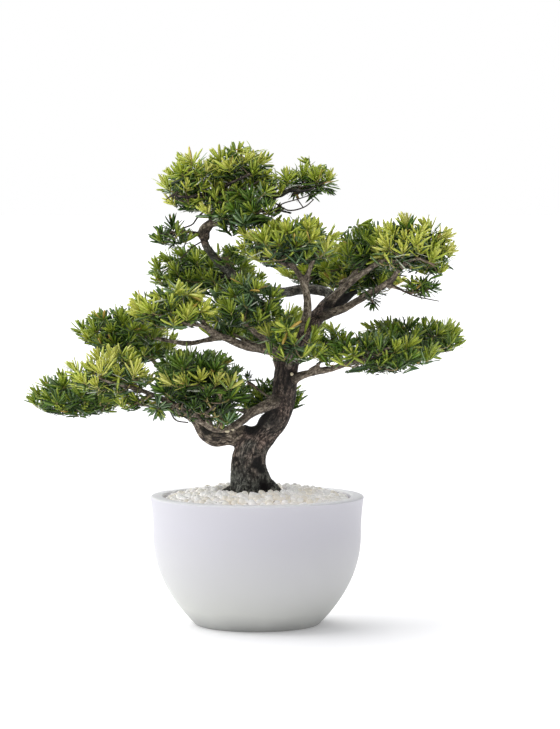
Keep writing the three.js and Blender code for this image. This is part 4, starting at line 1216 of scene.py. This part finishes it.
def make_wood(material):
    """Trunk, boughs and branches in one skin, with the bark's relief and the looks that its finish reads."""
    wood = wood_shape()
    mesh = wood.data
    count = len(mesh.vertices)
    places = np.empty(count * 3)
    mesh.vertices.foreach_get("co", places)
    places = places.reshape(-1, 3) / MM
    normals = np.array([vertex.normal for vertex in mesh.vertices])
    index = nearest_station(places)
    offset = places - MARKS["line"][index]
    run = MARKS["run"][index] + (offset * MARKS["along"][index]).sum(1)
    grain = np.stack([(offset * MARKS["beside"][index]).sum(1), (offset * MARKS["across"][index]).sum(1),
                      run], -1)
    lift, crack = bark_relief(grain, MARKS["radii"][index])
    hollow = np.zeros(count)
    for centre, width, depth in HOLLOWS:
        near = np.exp(-(np.linalg.norm((places - centre) / width, axis=1)) ** 2)
        lift -= depth * near
        hollow = np.maximum(hollow, near)
    dark = blended(places, "dark")
    # Painted shade: darker under the limbs and on the side away from the light, and in patches at crotches
    # and recesses.
    for way, share in SHADED_SIDES:
        dark += share * np.maximum(0, normals @ np.array(way))
    for centre, width, strength in SHADE_PATCHES:
        away = np.linalg.norm(places - centre, axis=1)
        dark = np.maximum(dark, strength * np.exp(-(away / width) ** 2))
    youth = blended(places, "youth")
    youth -= AGED_FOOT * np.exp(-np.maximum(0, places[:, 2] - GROUND) / AGED_HEIGHT)
    mesh.vertices.foreach_set("co", ((places + normals * lift[:, None]) * MM).ravel())
    write_attribute(mesh, "grain", "FLOAT_VECTOR", grain * MM)
    # Painted shade in cracks and knot holes, for the finish to darken.
    write_attribute(mesh, "crack", "FLOAT", np.clip(crack + HOLLOW_SHADE * hollow, 0, 1))
    write_attribute(mesh, "youth", "FLOAT", youth)
    write_attribute(mesh, "dark", "FLOAT", dark)
    nodes = [name for name in frame["nodes"] if name.startswith(("trunk", "bough_", "leader_"))]
    return finished(wood, [material], *nodes, slot="bark", smooth_angle=180)


def make_thin_twigs(materials):
    """The bare twigs, dark or tan."""
    heap = Heap()
    for name, way in THIN_TWIGS.items():
        heap.add(*tube(*laid(way, THIN_STEP), THIN_SIDES), tint=int(name in TAN_TWIGS))
    return finished(heap.make("bare_twigs", materials), None, slot="bark")


def make_cuts(material):
    """The pale faces of old pruning cuts, as flattened buttons on the bark."""
    heap = Heap()
    corners, triangles = ball()
    for centre, halves in CUTS:
        heap.add(corners * halves + centre, triangles)
    return finished(heap.make("pruning_cuts", [material]), None, slot="bark", smooth_angle=180)


def write_attribute(mesh, name, kind, values):
    """A value to every corner of the mesh, for its finish to read."""
    attribute = mesh.attributes.new(name, kind, "POINT")
    field = "vector" if kind == "FLOAT_VECTOR" else "value"
    attribute.data.foreach_set(field, np.asarray(values, np.float32).ravel())


# -----------------------------------------------------------------------------------------------------
# Foliage
# -----------------------------------------------------------------------------------------------------

def depths(points):
    """How far out each point lies in each mass's space: 0 at its heart and 1 at its reach."""
    return np.linalg.norm((points[:, None] - HEARTS) / REACHES, axis=2)


def owned(mass, points):
    """Whether each point is in the mass's own space and nearer to its heart than to any neighbour's."""
    every = depths(points)
    own = every[:, mass]
    others = np.delete(every, mass, axis=1).min(1)
    return (own <= 1) & (others > own + BORDER)


def clear_of_wood(points, margin):
    """Whether each point is further than the margin from every limb's skin."""
    return in_blocks(lambda block: surface_gaps(block).min(1) > margin, points)


def shown_marks():
    """Places and radii of stations along the limbs that show from the front."""
    marks = [laid(WOOD[name]["way"], LIMB_STEP, first, last) for name, first, last in SHOWN]
    marks += [laid(THIN_TWIGS[name], LIMB_STEP) for name in SHOWN_TWIGS]
    lines, radii = zip(*marks)
    return np.concatenate(lines), np.concatenate(radii)


SHOWN_LINE, SHOWN_RADII = shown_marks()


def hides_limb(points):
    """Whether each point stands in front of a limb that shows."""
    def test(block):
        away = np.hypot(block[:, None, 0] - SHOWN_LINE[:, 0], block[:, None, 2] - SHOWN_LINE[:, 2])
        is_before = block[:, None, 1] < SHOWN_LINE[:, 1]
        return (is_before & (away < SHOWN_RADII + SHOWN_MARGIN)).any(1)
    return in_blocks(test, points)


def stem_of(feeder, heart, reach):
    """The stem of a mass, which carries on from its bough's tip to just under its heart."""
    bough = Limb(WOOD[feeder]["way"])
    near_tip = bough.point([NEAR_TIP, 1.0])
    along = unit(near_tip[1] - near_tip[0])
    start = near_tip[1]
    radius = bough.radii[-1]
    end = np.array(heart) - (0, 0, STEM_DROP * reach[2])
    bend = start + along * STEM_SWING * np.linalg.norm(end - start)
    bend = lerp(bend, (start + end) / 2, STEM_SWING)
    first = start + along * STEM_FIRST
    middle = (radius + STEM_END_RADIUS) / 2
    way = [(start - along * STEM_INSIDE, radius), (first, radius), (bend, middle), (end, STEM_END_RADIUS)]
    return Limb([(*place, girth) for place, girth in way])


def spaced(places, gaps):
    """Indices of places that keep their gap to every place kept before."""
    kept = []
    for i, place in enumerate(places):
        if not kept or np.linalg.norm(places[kept] - place, axis=1).min() > gaps[i]:
            kept.append(i)
    return kept


def shell_tufts(mass, scale, heart, reach, rng, zone, low, high):
    """Tufts of a zone of the mass's skin, whose leaf tips reach its ragged edge."""
    ways = unit(rng.normal(size=(zone["tries"], 3)))
    ways = ways[(ways[:, 2] > low) & (ways[:, 2] < high)]
    ragged = np.array([noise.noise(Vector((heart + way * reach) / LOBE_SIZE)) for way in ways])
    ragged = np.clip(0.5 + LOBE_DEPTH * ragged + rng.normal(0, LOBE_STRAY, len(ways)), 0, 1)
    tips = heart + reach * ways * lerp(*EDGE, ragged)[:, None]
    outward = ways * (zone["lean"], zone["lean"], 0.0)
    axes = unit(outward + (0, 0, zone["lift"]) + rng.normal(0, AXIS_STRAY, ways.shape))
    places = tips - axes * zone["reach"] * scale
    good = owned(mass, places)
    return places[good], axes[good], np.full(good.sum(), float(zone["spacing"]))


def inner_tufts(heart, reach, rng):
    """Shaded tufts within the mass, which close it to the eye."""
    ways = unit(rng.normal(size=(INSIDE["tries"], 3)))
    depth = INSIDE["depth"] * rng.uniform(0, 1, (INSIDE["tries"], 1)) ** (1 / 3)
    axes = ways * (1, 1, INSIDE["rise"]) + (0, 0, INSIDE["lift"])
    axes = unit(axes + rng.normal(0, INSIDE["stray"], ways.shape))
    return heart + reach * ways * depth, axes, np.full(INSIDE["tries"], float(INSIDE["spacing"]))


def plan_tufts(mass, name, scale, heart, reach, rng):
    """Places and axes of a mass's tufts, kept apart from each other and clear of wood."""
    if name in SINGLES:
        return heart[None], unit(np.array([SINGLES[name][0]]))
    low = FULL_LOW if name in FULL else CANOPY["low"]
    zones = [shell_tufts(mass, scale, heart, reach, rng, CANOPY, low, CAPS.get(name, 1.0)),
             shell_tufts(mass, scale, heart, reach, rng, SKIRT, SKIRT["low"], SKIRT["high"]),
             inner_tufts(heart, reach, rng)]
    places, axes, gaps = (np.concatenate(parts) for parts in zip(*zones))
    gaps = gaps * scale * SPARSE.get(name, 1.0)
    good = owned(mass, places) & clear_of_wood(places, TUFT_CLEAR)
    if name in FLAT:
        good &= places[:, 2] > heart[2] + FLAT_LOW * reach[2]
    places, axes, gaps = places[good], axes[good], gaps[good]
    kept = spaced(places, gaps)
    return places[kept], axes[kept]


def plan_twigs(stem, places, axes):
    """A twig to every tuft, each from the nearest fork that is still free."""
    end = stem.point(1.0)[0]
    forks = stem.point(np.linspace(FORKS_FROM, 1, STEM_FORKS))
    ways = unit(np.gradient(forks, axis=0))
    reached = np.zeros(STEM_FORKS)
    parents = np.full(STEM_FORKS, -1)
    order = np.argsort(np.linalg.norm(places - end, axis=1))
    twigs = []
    for i in order:
        place, axis = places[i], axes[i]
        cost = np.linalg.norm(forks - place, axis=1) + TRUNKWARD * reached
        fork = int(cost.argmin())
        line = twig_line(forks[fork], ways[fork], place, axis)
        twigs.append(dict(parent=int(parents[fork]), line=line, load=1))
        run = reached[fork] + np.linalg.norm(np.diff(line, axis=0), axis=1).sum()
        steps = [round(share * (len(line) - 1)) for share in TWIG_FORKS]
        headings = unit(np.gradient(line, axis=0))
        forks = np.concatenate([np.delete(forks, fork, 0), line[steps]])
        ways = np.concatenate([np.delete(ways, fork, 0), headings[steps]])
        reached = np.concatenate([np.delete(reached, fork), np.full(len(steps), run)])
        parents = np.concatenate([np.delete(parents, fork), np.full(len(steps), len(twigs) - 1)])
    for twig in reversed(twigs):
        if twig["parent"] >= 0:
            twigs[twig["parent"]]["load"] += twig["load"]
    return twigs


def twig_line(root, way, place, axis):
    """A twig leaves its fork along the older wood and turns up into its tuft."""
    length = np.linalg.norm(place - root)
    t = np.linspace(0, 1, TWIG_STATIONS)[:, None]
    leave = root + way * TWIG_LEAVE * length
    reach = place - axis * TWIG_RISE * length
    return (1 - t) ** 3 * root + 3 * (1 - t) ** 2 * t * leave + 3 * (1 - t) * t ** 2 * reach + t ** 3 * place


def leaf_pattern():
    """A strap of a leaf with a raised rib: its corners, its triangles and how much lighter each one is.

    A corner is a station along the leaf, a place across it and a height, both in widths.
    """
    across = ((-0.5, 0), (-0.5 * RIB_WIDTH, LEAF_RIDGE), (0.5 * RIB_WIDTH, LEAF_RIDGE), (0.5, 0))
    lighter = (0, 2, 0, 1)
    rows = [(0, 0, 0)]
    for station, width in LEAF_STATIONS:
        rows += [(station, side * width, height) for side, height in across]
    rows.append((1, 0, 0))
    triangles = []
    steps = []
    sides = len(across)
    last = len(rows) - 1
    for side in range(sides):
        follow = (side + 1) % sides
        faces = [(0, 1 + follow, 1 + side)]
        for band in range(1, last - sides, sides):
            a, b = band + side, band + follow
            faces += [(a, b, b + sides), (a, b + sides, a + sides)]
        faces.append((last - sides + side, last - sides + follow, last))
        triangles += faces
        steps += [lighter[side]] * len(faces)
    return np.array(rows), np.array(triangles), np.array(steps)


LEAF_ROWS, LEAF_TRIANGLES, LEAF_LIGHTER = leaf_pattern()


def leaf_scale(name, reach):
    """How big the leaves and tufts of a mass are: smaller in one that reaches little."""
    if name in SINGLES:
        return SINGLES[name][1]
    return min(1.0, reach.min() / FULL_SIZE_REACH)


def grow_leaves(mass, scale, heart, reach, places, axes, vigour, bloom, rng):
    """Corners, triangles and tints of every leaf of a mass that stays in its reach, clear of wood."""
    tufts, leaves = len(places), LEAVES_PER_TUFT
    share = np.tile(np.linspace(0, 1, leaves), (tufts, 1))
    is_young = share > YOUNG_FROM
    size = scale * rng.uniform(*TUFT_SIZES, (tufts, 1))
    lean = unit(np.cross(axes, ASIDE))
    cross = np.cross(axes, lean)
    bearing = GOLDEN_TURN * np.arange(leaves) + rng.uniform(0, FULL_TURN, (tufts, 1))
    bearing = (bearing + rng.normal(0, BEARING_STRAY, (tufts, leaves)))[..., None]
    old_spread = lerp(LEAF_SPREAD[0], LEAF_SPREAD[1], share / YOUNG_FROM)
    young_spread = lerp(LEAF_SPREAD[2], LEAF_SPREAD[3], (share - YOUNG_FROM) / (1 - YOUNG_FROM))
    polar = np.where(is_young, young_spread, old_spread) + rng.normal(0, SPREAD_STRAY, share.shape)
    polar = np.radians(polar)[..., None]
    outward = np.cos(bearing) * lean[:, None] + np.sin(bearing) * cross[:, None]
    along = np.cos(polar) * axes[:, None] + np.sin(polar) * outward
    back = SHOOT * size * np.maximum(0, 1 - share / SHOOT_BARE_FROM)
    root = places[:, None] - axes[:, None] * back[..., None]
    length = lerp(*LEAF_LENGTH, share) * size * rng.uniform(*LENGTH_SIZES, share.shape)
    width = lerp(*LEAF_WIDTH, share) * size * rng.uniform(*WIDTH_SIZES, share.shape)
    family, step = leaf_tints(places, heart, reach, vigour, bloom, share, is_young, rng)
    width = np.where(family == GLINT, GLINT_WIDTH, 1) * width
    curl = lerp(*LEAF_CURL, np.minimum(share / YOUNG_FROM, 1)) + rng.normal(0, CURL_STRAY, share.shape)
    face = unit(axes[:, None] - along * (axes[:, None] * along).sum(-1, keepdims=True))
    side = np.cross(along, face)
    twist = rng.normal(0, TWIST_STRAY, share.shape)[..., None]
    upper = np.cos(twist) * face + np.sin(twist) * side
    side = np.cross(along, upper)
    root, along, upper, side, face = (a.reshape(-1, 3) for a in (root, along, upper, side, face))
    length, width, curl = (a.reshape(-1, 1) for a in (length, width, curl))
    tip = root + length * (along + curl * face)
    middle = root + LEAF_MIDDLE * length * along
    keep = depths(tip)[:, mass] <= TIP_LIMIT
    keep &= clear_of_wood(tip, TIP_CLEAR) & clear_of_wood(middle, MIDDLE_CLEAR)
    is_hiding = hides_limb(tip) | hides_limb(middle) | hides_limb(root)
    thinned = SHOWN_SHARE if tufts > 1 else 0
    keep &= ~(is_hiding & (rng.uniform(size=len(tip)) < thinned))
    stations = LEAF_ROWS[:, 0][:, None]
    root, along, upper, side, face = (a[keep, None] for a in (root, along, upper, side, face))
    length, width, curl = (a[keep, None] for a in (length, width, curl))
    corners = root + length * (stations * along + curl * stations ** 2 * face)
    corners = corners + width * (LEAF_ROWS[:, 1][:, None] * side + LEAF_ROWS[:, 2][:, None] * upper)
    offsets = len(LEAF_ROWS) * np.arange(keep.sum())[:, None, None]
    triangles = (LEAF_TRIANGLES + offsets).reshape(-1, 3)
    family, step = family.ravel()[keep, None], step.ravel()[keep, None]
    lightest = FIRST_TINTS[family + 1] - 1
    tints = np.minimum(FIRST_TINTS[family] + step + LEAF_LIGHTER, lightest)
    return corners.reshape(-1, 3), triangles, tints.ravel()


def leaf_tints(places, heart, reach, vigour, bloom, share, is_young, rng):
    """A family and a step of tint to every leaf: lighter up and out in the mass as painted light, fresher at
    a tuft's tip.
    """
    out = (places - heart) / reach
    patch = np.array([noise.noise(Vector(place / PATCH_SIZE)) for place in places])
    patch += rng.normal(0, PATCH_STRAY, len(places))
    drift = np.array([noise.noise(Vector(place / DRIFT_SIZE + DRIFT_START)) for place in places])
    drift += rng.normal(0, DRIFT_STRAY, len(places))
    # Painted light: leaves are lighter up and out in the mass and darker within it, where shade falls.
    light = 0.4 + 0.3 * out[:, 2] + 0.42 * (np.linalg.norm(out, axis=1) - 0.5) + 0.4 * patch
    light += min(0, vigour)
    fresh = (vigour + 0.5 * drift + 0.5 * (light - 0.5) - 0.35 * np.maximum(0, out[:, 1]))[:, None]
    has_bloom = (bloom + 0.7 * patch + rng.normal(0, BLOOM_STRAY, len(places)) > 0.5)[:, None]
    stray = rng.normal(0, STEP_STRAY, share.shape)
    old = np.clip(np.rint(3.6 * light[:, None] + 1.6 * (share - 0.45) + stray), 0, 3)
    young = np.clip(np.rint(4.4 * fresh - 0.9 + 2.2 * (share - 0.75) + stray), -1, 3)
    is_fresh = is_young & (young >= 0)
    family = np.where(is_fresh, FRESH, np.where(has_bloom, BLOOM, OLD))
    step = np.where(is_fresh, young, old)
    lot = rng.uniform(size=share.shape)
    # Painted glints: some low leaves take near-white tints, more of them in a vigorous mass.
    is_glint = (share < GLINT_BELOW) & (lot < GLINT_SHARE * vigour)
    is_faded = lot > 1 - FADED_SHARE
    family = np.where(is_glint, GLINT, np.where(is_faded, FADED, family))
    step = np.where(is_glint | is_faded, 0, step)
    return family, step.astype(int)


def make_mass(mass, name, leaf_materials, twig_materials):
    """The twigs of a mass or spray in one piece, and its leaves in another, which stands for its node."""
    feeder, heart, reach, vigour, bloom = GROWTH[name]
    heart, reach = np.array(heart, float), np.array(reach, float)
    rng = np.random.default_rng(FIRST_SEED + mass)
    stem = stem_of(feeder, heart, reach)
    scale = leaf_scale(name, reach)
    places, axes = plan_tufts(mass, name, scale, heart, reach, rng)
    twigs = plan_twigs(stem, places, axes)
    heap = Heap()
    stations = np.linspace(0, 1, STEM_STATIONS)
    heap.add(*tube(stem.point(stations), stem.radius(stations), STEM_SIDES))
    for twig in twigs:
        base = TIP_RADIUS * (1 + twig["load"]) ** PIPE_POWER
        line = twig["line"]
        radii = np.linspace(min(base, STEM_END_RADIUS), TIP_RADIUS, len(line))
        heap.add(*tube(line[:GREEN_FROM + 1], radii[:GREEN_FROM + 1], TWIG_SIDES), tint=0)
        heap.add(*tube(line[GREEN_FROM:], radii[GREEN_FROM:], TWIG_SIDES), tint=1)
    finished(heap.make(f"twigs_{name}", twig_materials), None, slot="bark")
    corners, triangles, tints = grow_leaves(mass, scale, heart, reach, places, axes, vigour, bloom, rng)
    leaves = joined(f"leaves_{name}", corners, triangles, tints, leaf_materials)
    nodes = [f"foliage_{name}"] if name in MASSES else []
    finished(leaves, None, *nodes, slot="leaves")


# -----------------------------------------------------------------------------------------------------
# Floor, light and camera
# -----------------------------------------------------------------------------------------------------

def make_floor():
    """A wide, pale floor at the planter's foot."""
    finish = Finish("pale_floor", {"Base Color": linear(250, 250, 250), "Roughness": 0.9,
                                   "Emission Color": (1, 1, 1, 1), "Emission Strength": FLOOR_GLOW})
    deselect()
    bpy.ops.mesh.primitive_plane_add(size=FLOOR_SIZE, location=(0, 0, 0))
    floor = bpy.context.object
    floor.name = "floor"
    floor.data.materials.append(finish.material)


def light_studio():
    """A white surround low down behind the plant, a sky that dims to the right, and one large soft lamp."""
    world = bpy.data.worlds.new("studio")
    bpy.context.scene.world = world
    world.use_nodes = True
    studio = Nodes(world.node_tree)
    way = studio.add("ShaderNodeTexCoord")
    across, away, up = (studio.add("ShaderNodeSeparateXYZ", None, {0: way}, axis) for axis in range(3))
    behind = studio.within(away, *BEHIND) * (1 - studio.within(up, *BEHIND_TOP))
    white = behind.math("MAXIMUM", behind, 1 - studio.within(up, *HORIZON))
    dimming = studio.within(0.8 * across - 0.6 * away, *DIMMING)
    sky = studio.mix(dimming, SKY_BRIGHT, SKY_DIM)
    studio.feed(world.node_tree.nodes["Background"].inputs["Color"], studio.mix(white, sky, (1, 1, 1, 1)))
    sun = bpy.data.lights.new("key", "SUN")
    sun.energy = SUN
    sun.angle = math.radians(SUN_SOFTNESS)
    lamp = placed("key", sun)
    lamp.rotation_euler = Vector(SUN_WAY).to_track_quat("Z", "Y").to_euler()


def place_camera():
    """The camera in front of the plant, a little above its middle."""
    camera = placed("camera", bpy.data.cameras.new("camera"))
    camera.data.lens = CAMERA_LENS
    camera.data.sensor_width = CAMERA_SENSOR
    camera.location = CAMERA_PLACE
    aim = Vector(CAMERA_AIM) - Vector(CAMERA_PLACE)
    camera.rotation_euler = aim.to_track_quat("-Z", "Y").to_euler()
    bpy.context.scene.camera = camera


# -----------------------------------------------------------------------------------------------------
# The plant in its planter
# -----------------------------------------------------------------------------------------------------

make_planter(glaze_finish())
make_soil(soil_finish())
make_pebbles(stone_finish())
make_wood(bark_finish())
make_thin_twigs([plain_finish("dark_twig", DARK_TWIG_TINT, 0.85), plain_finish("tan_twig", SHOOT_TINT, 0.8)])
make_cuts(plain_finish("pruning_cut", CUT_TINT, 0.8))
LEAF_MATERIALS = leaf_finishes()
TWIG_MATERIALS = twig_finishes()
for number, mass_name in enumerate(GROWTH):
    make_mass(number, mass_name, LEAF_MATERIALS, TWIG_MATERIALS)
make_floor()
light_studio()
place_camera()
bpy.context.scene.view_settings.view_transform = "Standard"
